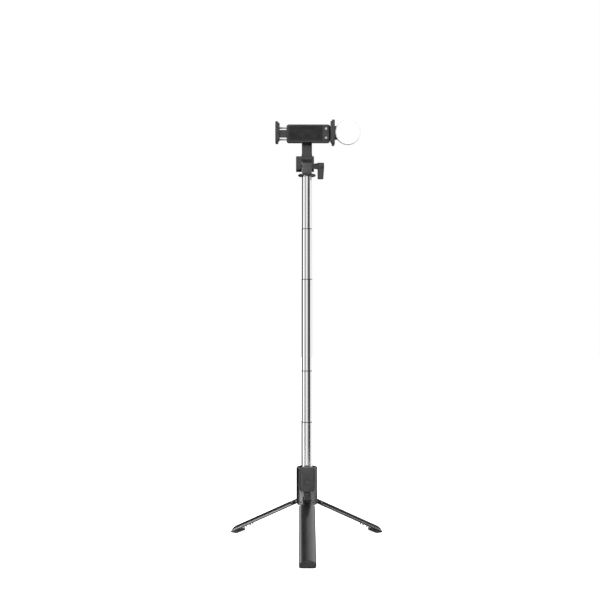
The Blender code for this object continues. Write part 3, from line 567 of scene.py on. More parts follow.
def seam_shift(x, y):
    """How far a point of station x lies towards the tip, so the shell's end runs in an arc over its crown."""
    share = max(0.0, (x - SEAM_START) / (SEAM_RIDGE - SEAM_START))
    return SEAM_BOW * share * (y / LEG_HALF_WIDTH) ** 2


def leg_ring(x, channel):
    """The shell's closed section at station x, measured along its ridge."""
    half_width = plan_half_width(x)
    outer = crown_path(half_width, top_at(x), LEG_EDGE, LEG_SHOULDER, 0.0006)
    inner_half = half_width - LEG_WALL
    inner = crown_path(inner_half, top_at(x) - LEG_WALL, LEG_EDGE, 0.0005)
    if not channel:
        inner = [(y, LEG_EDGE) for y, _ in inner]
    points = []
    for y, z in outer + inner[::-1]:
        here = x + seam_shift(x, y)
        drop = top_at(x) - top_at(here) if z > LEG_EDGE else 0.0
        points.append((here, y, z - drop))
    return points


def leg_shell():
    """The arched channel: solid at its root, open below, with its knuckle on the hinge pin."""
    end_wall = LEG_ROOT + LEG_WALL
    root = [LEG_ROOT + LEG_ROOT_CORNER * (1 - math.cos(a)) for a in quarter(10)]
    solid = [x for x in root if x < end_wall] + [end_wall]
    hollow = [x for x in root if x > end_wall]
    body = [0.012, 0.030, 0.055, 0.080, SEAM_START, 0.105, 0.109, 0.112, 0.114, 0.1152, SEAM_RIDGE]
    rings = [leg_ring(x, False) for x in solid]
    rings += [leg_ring(x, True) for x in [end_wall + 0.00002, *hollow, *body]]
    shell = loft("leg_shell", rings)
    neck = block((-0.0002, 0.0095), (-0.0055, 0.0055), (-0.0021, 0.0019), 0.0003)
    knuckle = rod("Y", 0.0023, -0.0055, 0.0055, edge=0.0002)
    shell = join(shell, neck, knuckle)
    return cut(shell, rod("Y", PIN_R + 0.0001, -0.0070, 0.0070, edge=0.0))


def floor_at(x):
    """Height of the floor at station x, in the leg's own frame."""
    return x * math.tan(LEG_SLOPE) - HINGE_Z / math.cos(LEG_SLOPE)


def foot_slice(y):
    """The foot's side outline at y: along the floor from heel to toe, then back up the nose to the seam."""
    width = LEG_HALF_WIDTH
    pulled = sagitta(max(0.0, abs(y) - width + LEG_TIP_CORNER), LEG_TIP_CORNER)
    drop = crown_drop(y, width) + sagitta(max(0.0, abs(y) - width + FOOT_SHOULDER), FOOT_SHOULDER)
    toe = TOE_X - pulled
    seam = SEAM_RIDGE + SEAM_BOW * (y / width) ** 2 + SEAM_GAP
    under = LEG_EDGE - SEAM_GAP
    points = [(0.1120, under), (HEEL_X - 0.0002, floor_at(HEEL_X) + 0.0005)]
    points += [(HEEL_X + 0.0004, floor_at(HEEL_X + 0.0004)), (toe, floor_at(toe))]
    for k in range(1, 15):
        x = seam + (toe - seam) * math.cos(math.pi / 2 * k / 14)
        skin = top_at(x + pulled) - drop
        points.append((x, max(skin, floor_at(x) + 0.0012 * min(1.0, k / 3))))
    points.append((seam, under))
    return [(x, y, z) for x, z in points]


def leg_foot():
    """The rubber foot: a wedge under the shell's end, and a nose that carries on its crown."""
    reach = LEG_HALF_WIDTH - 0.00015
    return loft("foot", [foot_slice(reach * math.sin(math.pi / 2 * k / 16)) for k in range(-16, 17)])


def make_legs():
    shell, foot = leg_shell(), leg_foot()
    for side, azimuth in LEG_AZIMUTHS.items():
        for source, kind in ((shell, "leg_shell"), (foot, "leg_foot")):
            mesh = source.data.copy()
            mesh.transform(leg_matrix(azimuth))
            stands_for(added(kind, mesh), f"{kind}_{side}")
        pin = rod("Y", PIN_R, -0.0088, 0.0088)
        pin.data.transform(leg_matrix(azimuth))
        stands_for(pin, f"leg_pin_{side}").data.materials[0] = BLACK_OXIDE
    bpy.data.objects.remove(shell, do_unlink=True)
    bpy.data.objects.remove(foot, do_unlink=True)


# ---------------------------------------------------------------- telescopic tube
def turn_between(a, b):
    """The signed turn from b to a, in radians."""
    return (a - b + math.pi) % (2 * math.pi) - math.pi


def tube_outline(inward, groove):
    """Section 2's outline moved inward along its normals. groove scales the keyway, 0 for none."""
    sides, groove_steps = 120, 8
    angles = [2 * math.pi * k / sides for k in range(sides)]
    width = GROOVE_HALF_ANGLE * max(groove, 0.02)
    fine = range(-groove_steps, groove_steps + 1)
    dense = [GROOVE_AZIMUTH + GROOVE_HALF_ANGLE * k / groove_steps for k in fine]
    spread = [a for a in angles if abs(turn_between(a, GROOVE_AZIMUTH)) > GROOVE_HALF_ANGLE * 1.1]
    points = []
    for a in sorted(spread + dense, key=lambda a: a % (2 * math.pi)):
        share = turn_between(a, GROOVE_AZIMUTH) / width
        dip = 0.0
        if groove and abs(share) < 1:
            dip = GROOVE_DEPTH * groove * (1 + math.cos(math.pi * share)) / 2
        points.append(Vector((math.cos(a), math.sin(a))) * (TUBE_R - TUBE_STEP - dip))
    moved = []
    for k, here in enumerate(points):
        along = (points[(k + 1) % len(points)] - points[k - 1]).normalized()
        moved.append(here + Vector((-along.y, along.x)) * inward)
    return moved


def make_sections():
    """The five telescopic sections. The keyway fades out at the foot of section 2."""
    rim = 0.00005
    for number in range(1, 6):
        node = f"tube_section_{number}"
        low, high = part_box(node)
        inward = (number - 2) * TUBE_STEP
        full = 0.0 if number == 1 else 1.0
        stations = [(low.z, full), (high.z, full)]
        if number == 2:
            fade = [(GROOVE_FOOT + 0.0013 * (1 - math.cos(a)), math.sin(a)) for a in quarter(8)]
            stations = [(low.z, 0.0), (GROOVE_FOOT - 0.0001, 0.0), *fade, (high.z, 1.0)]
        rings = []
        for z, groove in stations:
            rings.append([(p.x, p.y + AXIS_Y, z) for p in tube_outline(inward, groove)])
        rings.append([(p.x, p.y + AXIS_Y, high.z) for p in tube_outline(inward + rim, full)])
        for z, groove in reversed(stations):
            rings.append([(p.x, p.y + AXIS_Y, z) for p in tube_outline(inward + TUBE_WALL, groove)])
        rings.append(rings[0])
        tube = stands_for(loft(node, rings, 30.0, ends=False), node)
        # The keyway's faces take the dark steel, a painted shade in the groove.
        tube.data.materials.append(KEYWAY_SHADE_STEEL)
        for face in tube.data.polygons:
            way = math.atan2(face.center.y - AXIS_Y, face.center.x)
            in_keyway = abs(turn_between(way, GROOVE_AZIMUTH)) < GROOVE_HALF_ANGLE * 0.9
            face.material_index = int(in_keyway and number > 1 and face.center.z > GROOVE_FOOT)


def make_rings():
    """The guide rings, and the fixed tube with its end plug."""
    bulge_r, lap = 0.0002, 0.00012
    for number in range(1, 5):
        node = f"section_ring_{number}"
        low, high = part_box(node)
        outer = (high.x - low.x) / 2
        inner = outer - TUBE_STEP - lap
        bulge = arc((outer - bulge_r, high.z - bulge_r), bulge_r, 90, 0, 4)
        profile = [(inner, high.z), *bulge, (outer, low.z), (inner, low.z)]
        stands_for(lathe(profile, place=(0, AXIS_Y, 0)), node)
    low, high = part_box("lower_tube")
    sleeve = [(0.00805, high.z), (0.00825, high.z - 0.0002), (0.00825, low.z + 0.0002), (0.00805, low.z)]
    sleeve += [(0.0080, low.z), (0.0080, high.z)]
    stands_for(lathe(sleeve, place=(0, AXIS_Y, 0)), "lower_tube")
    plug = [(0.0, 0.0120), (0.0074, 0.0120), (0.0078, 0.0116), (0.0078, 0.0077), (0.00825, 0.0077)]
    plug += arc((0.00775, 0.0065), 0.0005, 0, -90, 5) + [(0.0046, 0.0060), (0.0043, 0.0064), (0.0, 0.0064)]
    stands_for(lathe(plug, place=(0, AXIS_Y, 0)), "lower_tube_plug")


# ---------------------------------------------------------------- collar and remote
def make_collar():
    """The round sleeve, with the remote's U-shaped dock in front and a notch over each leg's hinge."""
    profile = [(COLLAR_MOUTH_R, COLLAR_TOP)]
    profile += arc((COLLAR_R - COLLAR_ROUND, COLLAR_TOP - COLLAR_ROUND), COLLAR_ROUND, 90, 0, 6)
    profile += [(COLLAR_R, COLLAR_FOOT + 0.0003), (COLLAR_R - 0.0003, COLLAR_FOOT)]
    profile += [(HUB_SOCKET_R, COLLAR_FOOT), (HUB_SOCKET_R, HUB_SOCKET_TOP), (COLLAR_BORE_R, HUB_SOCKET_TOP)]
    profile += [(COLLAR_BORE_R, COLLAR_LIP_Z), (COLLAR_MOUTH_R, COLLAR_LIP_Z)]
    rim = plate("XZ", [tongue(DOCK_RIM_R, DOCK_Z, 0.1025, 0.0010)], DOCK_RIM_FRONT, -0.0092, 0.0004)
    dock = plate("XZ", [tongue(DOCK_R, DOCK_Z, 0.1100, 0.0010)], -0.0200, DOCK_FLOOR)
    collar = cut(join(lathe(profile), rim), dock)
    for azimuth in LEG_AZIMUTHS.values():
        notch = block((0.0118, 0.0200), (-0.0062, 0.0062), (0.0580, 0.0655), 0.0008)
        notch.data.transform(Matrix.Rotation(math.radians(azimuth), 4, "Z"))
        collar = cut(collar, notch)
    stands_for(shifted(collar, y=AXIS_Y), "collar")


def remote_skin(start, soft):
    """A tongue-shaped case from a depth to its far face, whose edge is rounded by (depth, inset) steps."""
    rings = []
    for depth, inset in [(start, 0.0), *soft]:
        outline = tongue(REMOTE_R - inset, REMOTE_Z, REMOTE_TOP - inset, 0.0012 - inset / 2)
        rings.append([(u, depth, v) for u, v in outline])
    return loft("case", rings)


def make_remote():
    """The remote's two hollow halves, with grips on its sides, and its dished button."""
    front_round, back_round = 0.0009, 0.0005
    turns = [(1 - math.sin(a), 1 - math.cos(a)) for a in quarter(6)]
    soft = [(REMOTE_FACE + front_round * deep, front_round * inset) for deep, inset in turns]
    opening = [(0.0, -0.0138), (0.0041, -0.0138), (0.0041, -0.0160), (0.0046, -0.0170), (0.0, -0.0170)]
    case = cut(
        remote_skin(-0.0134, soft),
        lathe(opening, "Y", (0, 0, BUTTON_Z)),
        plate("XZ", [tongue(0.0072, REMOTE_Z, 0.1050, 0.0008)], -0.0143, -0.0125),
    )
    stands_for(shifted(case, y=AXIS_Y), "remote_front_case")
    turns = [(1 - math.sin(a), 1 - math.cos(a)) for a in quarter(4)]
    back_soft = [(REMOTE_BACK - back_round * deep, back_round * inset) for deep, inset in turns]
    back = remote_skin(-0.0132, back_soft)
    for side in (-1, 1):
        for low in (0.0855, 0.0975):
            back = join(back, rod("Z", 0.0010, low, low + 0.0030, (side * 0.0080, -0.0116), 0.0007, 24))
    back = cut(back, plate("XZ", [tongue(0.0074, REMOTE_Z, 0.1052, 0.0006)], -0.0142, -0.0104))
    stands_for(shifted(back, y=AXIS_Y), "remote_back_case")
    dish = [(0.0, -0.01655), (0.0020, -0.0166), (0.0030, -0.01675)]
    dish += [*arc((0.0036, -0.0165), 0.0003, 270, 360, 4), (0.0039, -0.0146), (0.0, -0.0146)]
    stands_for(lathe(dish, "Y", (0, AXIS_Y, BUTTON_Z)), "remote_button")


# ---------------------------------------------------------------- head and lever knob
def make_head():
    """The flange with a groove under it, and the plug whose arched leaf carries the tilt bolt."""
    half = (DISC_TOP - DISC_FOOT) / 2
    disc = [(0.0052, DISC_TOP), (0.0098, DISC_TOP), *arc((0.01085, DISC_FOOT + half), half, 90, -90, 12)]
    disc += [(0.0094, DISC_FOOT), (0.0090, DISC_FOOT + 0.0004), (0.0066, DISC_FOOT + 0.0004)]
    disc += [(0.0062, DISC_FOOT), (0.0052, DISC_FOOT)]
    stands_for(lathe(disc, place=(0, AXIS_Y, 0)), "head_disc")
    arch = [(-POST_R, DISC_TOP + 0.0003), (POST_R, DISC_TOP + 0.0003), *arc((0, TILT_Z), POST_R, 0, 180, 40)]
    post = plate("YZ", [arch], -POST_HALF_WIDTH, POST_HALF_WIDTH, 0.0006)
    stem = [(0.0, 0.5125), (0.0049, 0.5125), (0.0049, 0.5072), (STEM_R, 0.5072), (STEM_R, STEM_FOOT + 0.0006)]
    post = join(post, lathe([*stem, (STEM_R - 0.0004, STEM_FOOT), (0.0, STEM_FOOT)]))
    post = cut(post, rod("X", 0.0021, -0.02, 0.02, (0, TILT_Z), 0.0))
    stands_for(shifted(post, y=AXIS_Y), "head_post")


def ear(low, high):
    """One cheek of the clevis."""
    return plate("YZ", [tongue(EAR_R, TILT_Z, SHOULDER_Z, 0.0014)], low, high, 0.0006)


def make_bracket():
    """The clevis on the tilt bolt, its neck, and the boss that the clamp rolls on."""
    rise, shoulder = CLAMP_Z, SHOULDER_Z
    neck_foot, neck_waist = shoulder - 0.0025, shoulder + 0.0040
    neck = [(-0.0082, neck_foot), (0.0082, neck_foot), (0.0070, neck_waist)]
    neck += [(0.0070, rise), (-0.0070, rise), (-0.0070, neck_waist)]
    bracket = join(
        ear(*LEFT_EAR),
        ear(*RIGHT_EAR),
        block((-0.0143, 0.0090), (-0.0072, 0.0072), (TILT_Z + 0.0080, shoulder - 0.0002), 0.0005),
        plate("XZ", [neck], -0.0040, 0.0027, 0.0005),
        rod("Y", BOSS_R, -0.0077, 0.0030, (0, rise), 0.0006, 96),
    )
    bracket = cut(
        bracket,
        rod("X", 0.00212, -0.0200, 0.0200, (0, TILT_Z), 0.0, 36),
        rod("X", 0.0048, -0.0200, -0.0119, (0, TILT_Z), 0.0),
        rod("Y", 0.0021, -0.0100, 0.0050, (0, rise), 0.0),
        plate("XZ", [rounded((-0.0046, 0.0046), (neck_waist, rise - 0.0125), 0.0015)], 0.0016, 0.0060),
    )
    stands_for(shifted(bracket, y=AXIS_Y), "clamp_bracket")
    bolt = join(
        rod("X", BOLT_R, -0.0130, 0.0205, (0, TILT_Z), 0.0004),
        rod("X", 0.0042, -0.0148, -0.0122, (0, TILT_Z), 0.0004, 6),
    )
    stands_for(shifted(bolt, y=AXIS_Y), "tilt_bolt")
    screw = join(
        rod("Y", BOLT_R, -0.0127, 0.0040, (0, rise), 0.0004),
        rod("Y", 0.0046, 0.0033, 0.0054, (0, rise), 0.0006),
    )
    screw = cut(screw, *cross_slots((0, 0.0056, rise), 0.0030, 0.0011))
    stands_for(shifted(screw, y=AXIS_Y), "swivel_screw")


def cross_slots(place, reach, depth):
    """The two slots of a cross recess in a screw head that faces along Y."""
    x, y, z = place
    thin = 0.0004
    return (
        block((x - reach, x + reach), (y - depth, y + depth), (z - thin, z + thin), 0.0),
        block((x - thin, x + thin), (y - depth, y + depth), (z - reach, z + reach), 0.0),
    )


def make_knob():
    """The lever: a tapered blade with a sunk panel on each side, on a round barrel and neck."""
    z = TILT_Z
    foot, corner = z - BLADE_DROP, BLADE_CORNER
    blade = [(0.0147, z), (0.0148, foot - 0.0002), *arc((0.0158, foot), corner, 190, 270, 4)]
    blade += [*arc((0.0219, foot), corner, 270, 350, 4), (0.0229, foot - 0.0002), (0.0240, z)]
    barrel = [(0.0, 0.0238), (0.0040, 0.0238), *arc((0.0042, 0.0230), 0.0008, 90, 0, 5), (0.0050, 0.0147)]
    barrel += [(0.0046, 0.0143), (0.0, 0.0143)]
    neck = [(0.0, 0.0150), (0.0040, 0.0150), (0.0040, 0.0105), (0.0037, 0.0101), (0.0, 0.0101)]
    knob = join(
        plate("XZ", [blade], -0.0034, 0.0034, 0.0008),
        lathe(barrel, "X", (0, 0, z)),
        lathe(neck, "X", (0, 0, z)),
    )
    panel = [(0.0162, z - 0.0062), (0.0162, z - 0.0158), (0.0169, z - 0.0165), (0.0209, z - 0.0165)]
    panel += [(0.0216, z - 0.0158), (0.0222, z - 0.0062)]
    for low, high in ((-0.0060, -0.0028), (0.0028, 0.0060)):
        knob = cut(knob, plate("XZ", [panel], low, high))
    knob = cut(
        knob,
        rod("X", 0.0034, 0.0095, 0.0182, (0, z), 0.0, 6),
        rod("X", 0.0022, 0.0095, 0.0212, (0, z), 0.0),
    )
    stands_for(shifted(knob, y=AXIS_Y), "lever_knob")


# ---------------------------------------------------------------- phone clamp
def panel_xz(x, z, radius, low, high, edge=0.0):
    """A plate with rounded corners across Y. z is measured from CLAMP_Z."""
    return plate("XZ", [rounded(x, (CLAMP_Z + z[0], CLAMP_Z + z[1]), radius)], low, high, edge)


def make_clamp():
    """The hollow housing with two rails, its cover and screws, and the ribbed rubber pad behind the phone."""
    z = (-HOUSING_HALF, HOUSING_HALF)
    cavity_z = (CLAMP_Z - 0.0104, CLAMP_Z + 0.0104)
    housing = cut(
        panel_xz(HOUSING_X, z, HOUSING_CORNER, -0.0180, -0.0080, 0.0008),
        block((-0.0300, 0.0296), (-0.0200, -0.0096), cavity_z, 0.0),
    )
    cover = panel_xz(HOUSING_X, z, HOUSING_CORNER, -0.0200, -0.0183, 0.0005)
    for node, drop in (("cover_screw_lower", -COVER_SCREW_DROP), ("cover_screw_upper", COVER_SCREW_DROP)):
        place = (COVER_SCREW_X, CLAMP_Z + drop)
        housing = join(housing, rod("Y", 0.0024, -0.0178, -0.0090, place, 0.0))
        housing = cut(housing, rod("Y", 0.0011, -0.0190, -0.0098, place, 0.0))
        cover = cut(
            cover,
            rod("Y", 0.0011, -0.0210, -0.0170, place, 0.0),
            rod("Y", 0.0021, -0.0210, -0.0190, place, 0.0),
        )
        screw = join(
            rod("Y", COVER_SCREW_R, -0.0192, -0.0105, place),
            rod("Y", 2 * COVER_SCREW_R, -0.0200, -0.0191, place, 0.0003),
        )
        screw = cut(screw, *cross_slots((place[0], -0.0203, place[1]), 0.0012, 0.0007))
        stands_for(shifted(screw, y=AXIS_Y), node)
    housing = cut(housing, rod("Y", 0.0021, -0.0110, -0.0070, (0, CLAMP_Z), 0.0))
    for rail in (-0.0078, 0.0078):
        span = (rail - 0.0008, rail + 0.0008)
        housing = cut(housing, panel_xz((-0.0230, 0.0260), span, 0.0007, -0.0084, -0.0070))
    stands_for(shifted(housing, y=AXIS_Y), "clamp_housing")
    stands_for(shifted(cover, y=AXIS_Y), "clamp_cover")

    pad = panel_xz((-0.0255, 0.0215), (-0.0100, 0.0100), 0.0020, -0.0212, -0.0203, 0.0003)
    for k in range(-5, 6):
        span = (k * 0.0016 - 0.0002, k * 0.0016 + 0.0002)
        pad = cut(pad, panel_xz((-0.0235, 0.0195), span, 0.00015, -0.0220, -0.0209))
    stands_for(shifted(pad, y=AXIS_Y), "back_pad")


def jaw_plate(half, corners, x, depth):
    """A jaw's upright plate across X, with front and back corner radii."""
    outline = rounded(depth, (CLAMP_Z - half, CLAMP_Z + half), *corners)
    return plate("YZ", [outline], *x, 0.0007)


def ribbed_pad(x, half, face):
    """A soft pad on a jaw, with shallow ribs on the face towards the phone."""
    pitch, depth = 0.0014, 0.00025
    pad = plate("YZ", [rounded((-0.0307, -0.0220), (CLAMP_Z - half, CLAMP_Z + half), 0.0010)], *x, 0.0002)
    count = int(half / pitch) - 1
    for k in range(-count, count + 1):
        z = CLAMP_Z + k * pitch
        groove = block((face - depth, face + depth), (-0.0300, -0.0227), (z - 0.0003, z + 0.0003), 0.0)
        pad = cut(pad, groove)
    return shifted(pad, y=AXIS_Y)


def make_fixed_jaw():
    """The right jaw, with the light's two hinge lugs, its pad and the hinge pin."""
    low, high = CLAMP_Z - 0.01375, CLAMP_Z + 0.01375
    pin_place = (HINGE.x, HINGE_Y)
    jaw = join(
        jaw_plate(0.01675, (0.0030, 0.0060), (0.0338, 0.0376), (JAW_FRONT, -0.0090)),
        block((0.0319, 0.0350), (-0.0200, -0.0095), (CLAMP_Z - 0.0110, CLAMP_Z + 0.0110), 0.0005),
        block((0.0316, 0.0350), (JAW_FRONT, JAW_FRONT + JAW_LIP), (low, high), 0.0005),
    )
    for bottom, top in ((-0.0080, -0.0046), (0.0070, 0.0104)):
        span = (CLAMP_Z + bottom, CLAMP_Z + top)
        lug = join(
            block((0.0370, HINGE.x), (-0.0170, -0.0130), span, 0.0003),
            rod("Z", LUG_R, *span, pin_place, 0.0004),
        )
        jaw = join(jaw, lug)
    jaw = cut(jaw, rod("Z", 0.00096, CLAMP_Z - 0.0100, CLAMP_Z + 0.0120, pin_place, 0.0))
    stands_for(shifted(jaw, y=AXIS_Y), "fixed_jaw")
    stands_for(ribbed_pad((0.0323, 0.0335), 0.01475, 0.0323), "fixed_jaw_pad")
    pin = rod("Z", 0.0009, CLAMP_Z - 0.0084, CLAMP_Z + 0.0108, (HINGE.x, HINGE.y), 0.0002)
    stands_for(pin, "light_hinge_pin")


def make_sliding_jaw():
    """The left jaw with its arm, a split line and two sunk panels in front, its pad and guide rods."""
    low, high = CLAMP_Z - 0.0114, CLAMP_Z + 0.0114
    slider = join(
        jaw_plate(0.0144, (0.0030, 0.0030), (-0.0431, -0.0393), (JAW_FRONT, -0.0131)),
        block((-0.0421, -0.0020), (-0.0173, -0.0131), (CLAMP_Z - 0.0050, CLAMP_Z + 0.0050), 0.0004),
        block((-0.0405, -0.0371), (JAW_FRONT + 0.0001, JAW_FRONT + JAW_LIP), (low, high), 0.0005),
    )
    for node, drop in (("guide_rod_lower", -GUIDE_DROP), ("guide_rod_upper", GUIDE_DROP)):
        slider = cut(slider, rod("X", GUIDE_R + 0.00008, -0.0420, -0.0300, (GUIDE_Y, CLAMP_Z + drop), 0.0))
        guide = rod("X", GUIDE_R, -0.0417, -0.0040, (AXIS_Y + GUIDE_Y, CLAMP_Z + drop), 0.0003)
        stands_for(guide, node)
    split = CLAMP_Z - 0.0016
    slider = cut(
        slider,
        block((-0.0440, -0.0360), (-0.0335, -0.0321), (split - 0.0003, split + 0.0003), 0.0),
        panel_xz((-0.0400, -0.0378), (0.0002, 0.0098), 0.0005, -0.0335, -0.0317),
        panel_xz((-0.0400, -0.0378), (-0.0100, -0.0034), 0.0005, -0.0335, -0.0317),
    )
    stands_for(shifted(slider, y=AXIS_Y), "sliding_jaw")
    stands_for(ribbed_pad((-0.0390, -0.0378), 0.0124, -0.0378), "sliding_jaw_pad")


# ---------------------------------------------------------------- fill light
def make_light():
    """The swing-out light: a shallow cup with a milky front, seen edge-lit as a thin arc."""
    front, back = LIGHT_FRONT, LIGHT_BACK
    rim, corner = 0.00065, 0.0022
    cup = [(0.0, back), *arc((LIGHT_R - corner, back - corner), corner, 90, 0, 8)]
    cup += arc((LIGHT_R - rim, front + rim), rim, 360, 180, 8)
    cup += [(LIGHT_R - 2 * rim, back - LIGHT_WALL), (0.0, back - LIGHT_WALL)]
    shell = lathe(cup, "Y", (LIGHT.x, 0, LIGHT.z))
    lug = (CLAMP_Z - 0.0042, CLAMP_Z + 0.0066)
    # The arm stops just short of the lug's ends, and the bore is a hair off its centre, so no faces coincide.
    shell = join(
        shell,
        rod("Z", LUG_R, *lug, (HINGE.x, HINGE_Y), 0.0004),
        block((0.0403, 0.0512), (-0.0181, -0.0133), (lug[0] + 0.00013, lug[1] - 0.00011), 0.0004, 2),
    )
    notch_x, notch_z = (LIGHT.x - 0.0045, LIGHT.x + 0.0045), (LIGHT.z - 0.0200, LIGHT.z - 0.0140)
    shell = cut(
        shell,
        rod("Z", 0.00101, CLAMP_Z - 0.0100, CLAMP_Z + 0.0120, (HINGE.x, HINGE_Y - 0.00002), 0.0, 43),
        rod("Y", 0.00315, back - 0.0030, back + 0.0030, (LIGHT.x, LIGHT.z), 0.0),
        block(notch_x, (back - 0.0046, back - LIGHT_WALL), notch_z, 0.0008),
    )
    stands_for(shifted(shell, y=AXIS_Y), "light_housing")
    dome_r, dome_rise, dome_back = 0.0156, 0.0013, front + 0.0019
    dome = [(0.0, dome_back), (dome_r, dome_back)]
    dome += [(dome_r * math.sin(a), front + 0.0008 - dome_rise * math.cos(a)) for a in quarter(12)[::-1]]
    stands_for(lathe(dome, "Y", (LIGHT.x, AXIS_Y, LIGHT.z)), "light_diffuser")
    cap = [(0.0, back + 0.0006), (0.0018, back + 0.0007), *arc((0.0025, back + 0.0004), 0.0004, 90, 0, 4)]
    cap += [(0.0029, back - 0.0008), (0.0, back - 0.0008)]
    stands_for(lathe(cap, "Y", (LIGHT.x, AXIS_Y, LIGHT.z)), "light_button")


# ---------------------------------------------------------------- stage and view
def make_stage():
    """A pale floor that the part's own reflections don't show."""
    bpy.ops.mesh.primitive_plane_add(size=8.0, location=(0, 0, -0.0001))
    floor = bpy.context.object
    floor.name = "studio_floor"
    made, tree, shader = node_material("pale_floor")
    cloud = noise_from(tree, 6.0)
    link(tree, ramp_between(tree, cloud, grey(0.93), grey(0.95)), shader.inputs["Base Color"])
    shader.inputs["Roughness"].default_value = 0.9
    shader.inputs["Specular IOR Level"].default_value = 0.1
    shader.inputs["Emission Color"].default_value = grey(1.0)
    shader.inputs["Emission Strength"].default_value = 0.8
    floor.data.materials.append(made)
    floor.visible_glossy = False
    floor.visible_diffuse = False


# Brightness round the studio, by degrees to the right of the camera. Polished steel mirrors these bands.
STUDIO_BANDS = (
    (-180, 0.03), (-108, 0.04), (-98, 0.50), (-88, 1.5), (-64, 1.5), (-54, 0.30), (-42, 0.42), (-30, 0.60),
    (-19, 0.42), (-10, 1.1), (7, 1.3), (13, 0.26), (36, 0.22), (46, 0.03), (68, 0.05), (80, 0.9), (100, 1.2),
    (150, 0.8), (180, 0.10),
)
# The same above and below the angles the tube mirrors: what the collar's and the head's plastic reflects.
PLASTIC_BANDS = (
    (-180, 0.0), (-118, 0.0), (-109, 0.4), (-98, 0.1), (-80, 0.45), (-36, 0.5), (-20, 1.1), (20, 1.1),
    (38, 0.4), (64, 0.2), (88, 0.5), (105, 1.4), (122, 1.4), (134, 0.0), (180, 0.0),
)
# Lower still, where the legs' side walls look.
FLOOR_GLOW = (
    (-180, 0.3), (-104, 0.3), (-76, 12.0), (-46, 12.0), (-30, 0.4), (30, 0.4), (46, 6.5), (76, 6.5),
    (104, 0.3), (180, 0.3),
)
# Brightness overhead, by degrees of roll from straight up towards the right.
OVERHEAD = (
    (-180, 0.0), (-46, 0.0), (-41, 4.2), (-28, 4.2), (-21, 0.15), (-8, 0.25), (22, 2.2), (31, 2.9), (37, 2.4),
    (45, 0.0), (180, 0.0),
)
# Where the next map takes over, by the heights of a direction between which it fades in.
LAYERS = (
    (-0.184, -0.190, "plastic"), (0.140, 0.150, "plastic"), (-0.220, -0.236, "floor"),
    (-0.288, -0.310, "level"), (0.24, 0.42, "overhead"),
)


def angle_ramp(tree, across, along, stops):
    """Brightness by the angle between two parts of a direction, from stops in degrees."""
    angle = tree.nodes.new("ShaderNodeMath")
    angle.operation = "ARCTAN2"
    link(tree, across, angle.inputs[0])
    link(tree, along, angle.inputs[1])
    ramp = tree.nodes.new("ShaderNodeValToRGB")
    elements = ramp.color_ramp.elements
    elements.remove(elements[-1])
    peak = max(value for _, value in stops)
    elements[0].position = 0.0
    elements[0].color = grey(stops[0][1] / peak)
    for degrees, value in stops[1:]:
        elements.new((degrees + 180) / 360).color = grey(value / peak)
    link(tree, range_of(tree, angle.outputs[0], 0.0, 1.0, -math.pi, math.pi), ramp.inputs["Fac"])
    scaled = tree.nodes.new("ShaderNodeMath")
    scaled.operation = "MULTIPLY"
    scaled.inputs[1].default_value = peak
    link(tree, ramp.outputs["Color"], scaled.inputs[0])
    return scaled.outputs[0]


def blend(tree, factor, low, high):
    mix = tree.nodes.new("ShaderNodeMix")
    link(tree, factor, mix.inputs["Factor"])
    link(tree, low, mix.inputs["A"])
    link(tree, high, mix.inputs["B"])
    return mix.outputs["Result"]


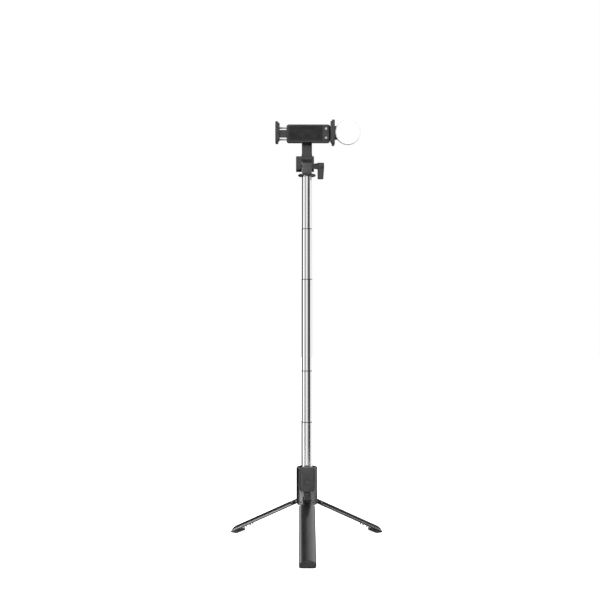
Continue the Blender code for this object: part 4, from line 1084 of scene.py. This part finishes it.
def make_world():
    """White to the camera, banded in reflections, and soft from above for everything else."""
    world = bpy.data.worlds.new("studio")
    bpy.context.scene.world = world
    world.use_nodes = True
    tree = world.node_tree
    coordinates = tree.nodes.new("ShaderNodeTexCoord")
    split = tree.nodes.new("ShaderNodeSeparateXYZ")
    link(tree, coordinates.outputs["Generated"], split.inputs["Vector"])
    x, y, z = split.outputs
    ahead = tree.nodes.new("ShaderNodeMath")
    ahead.operation = "MULTIPLY"
    ahead.inputs[1].default_value = -1.0
    link(tree, y, ahead.inputs[0])
    maps = {
        "level": angle_ramp(tree, x, ahead.outputs[0], STUDIO_BANDS),
        "plastic": angle_ramp(tree, x, ahead.outputs[0], PLASTIC_BANDS),
        "floor": angle_ramp(tree, x, ahead.outputs[0], FLOOR_GLOW),
        "overhead": angle_ramp(tree, x, z, OVERHEAD),
    }
    light = maps["level"]
    for start, end, name in LAYERS:
        light = blend(tree, range_of(tree, z, 0.0, 1.0, start, end), light, maps[name])
    soft = range_of(tree, z, 0.10, 1.5, -1.0, 1.0)
    path = tree.nodes.new("ShaderNodeLightPath")
    lit = blend(tree, path.outputs["Is Glossy Ray"], soft, light)
    white = tree.nodes.new("ShaderNodeValue")
    white.outputs[0].default_value = 1.0
    seen = blend(tree, path.outputs["Is Camera Ray"], lit, white.outputs[0])
    link(tree, seen, tree.nodes["Background"].inputs["Strength"])
    tree.nodes["Background"].inputs["Color"].default_value = grey(1.0)


def make_lights():
    """One large soft light in front, which shows in no reflection."""
    data = bpy.data.lights.new("soft_front", "AREA")
    data.shape = "RECTANGLE"
    data.size, data.size_y = 1.8, 1.2
    data.energy = 20.0
    light = added("soft_front", data)
    light.location = (-0.4, -1.9, 1.5)
    aim = Vector((0, AXIS_Y, 0.35))
    light.rotation_euler = (aim - light.location).to_track_quat("-Z", "Y").to_euler()
    light.visible_camera = False
    light.visible_glossy = False


def make_camera():
    data = bpy.data.cameras.new("camera")
    data.sensor_width = 36.0
    data.lens = 53.2
    camera = added("camera", data)
    camera.location = (-0.0096, -1.2315 + AXIS_Y, 0.336)
    camera.rotation_euler = (math.pi / 2, 0, 0)
    bpy.context.scene.camera = camera


def dress_cad():
    """Gives each CAD node the finish of its slot. Those with no look of their own stay on show."""
    for node, obj in frame["nodes"].items():
        finish_of(obj, SLOT_OF[node])
        soften(obj, 30.0)
        if node in BEVELLED:
            bevel = obj.modifiers.new("Bevel", "BEVEL")
            bevel.width = BEVELLED[node]
            bevel.segments = 3
            bevel.limit_method = "ANGLE"
            bevel.angle_limit = math.radians(40.0)
            bevel.harden_normals = True


dress_cad()
make_legs()
make_sections()
make_rings()
make_collar()
make_remote()
make_head()
make_bracket()
make_knob()
make_clamp()
make_fixed_jaw()
make_sliding_jaw()
make_light()
make_stage()
make_world()
make_lights()
make_camera()
bpy.context.scene.view_settings.view_transform = "Standard"
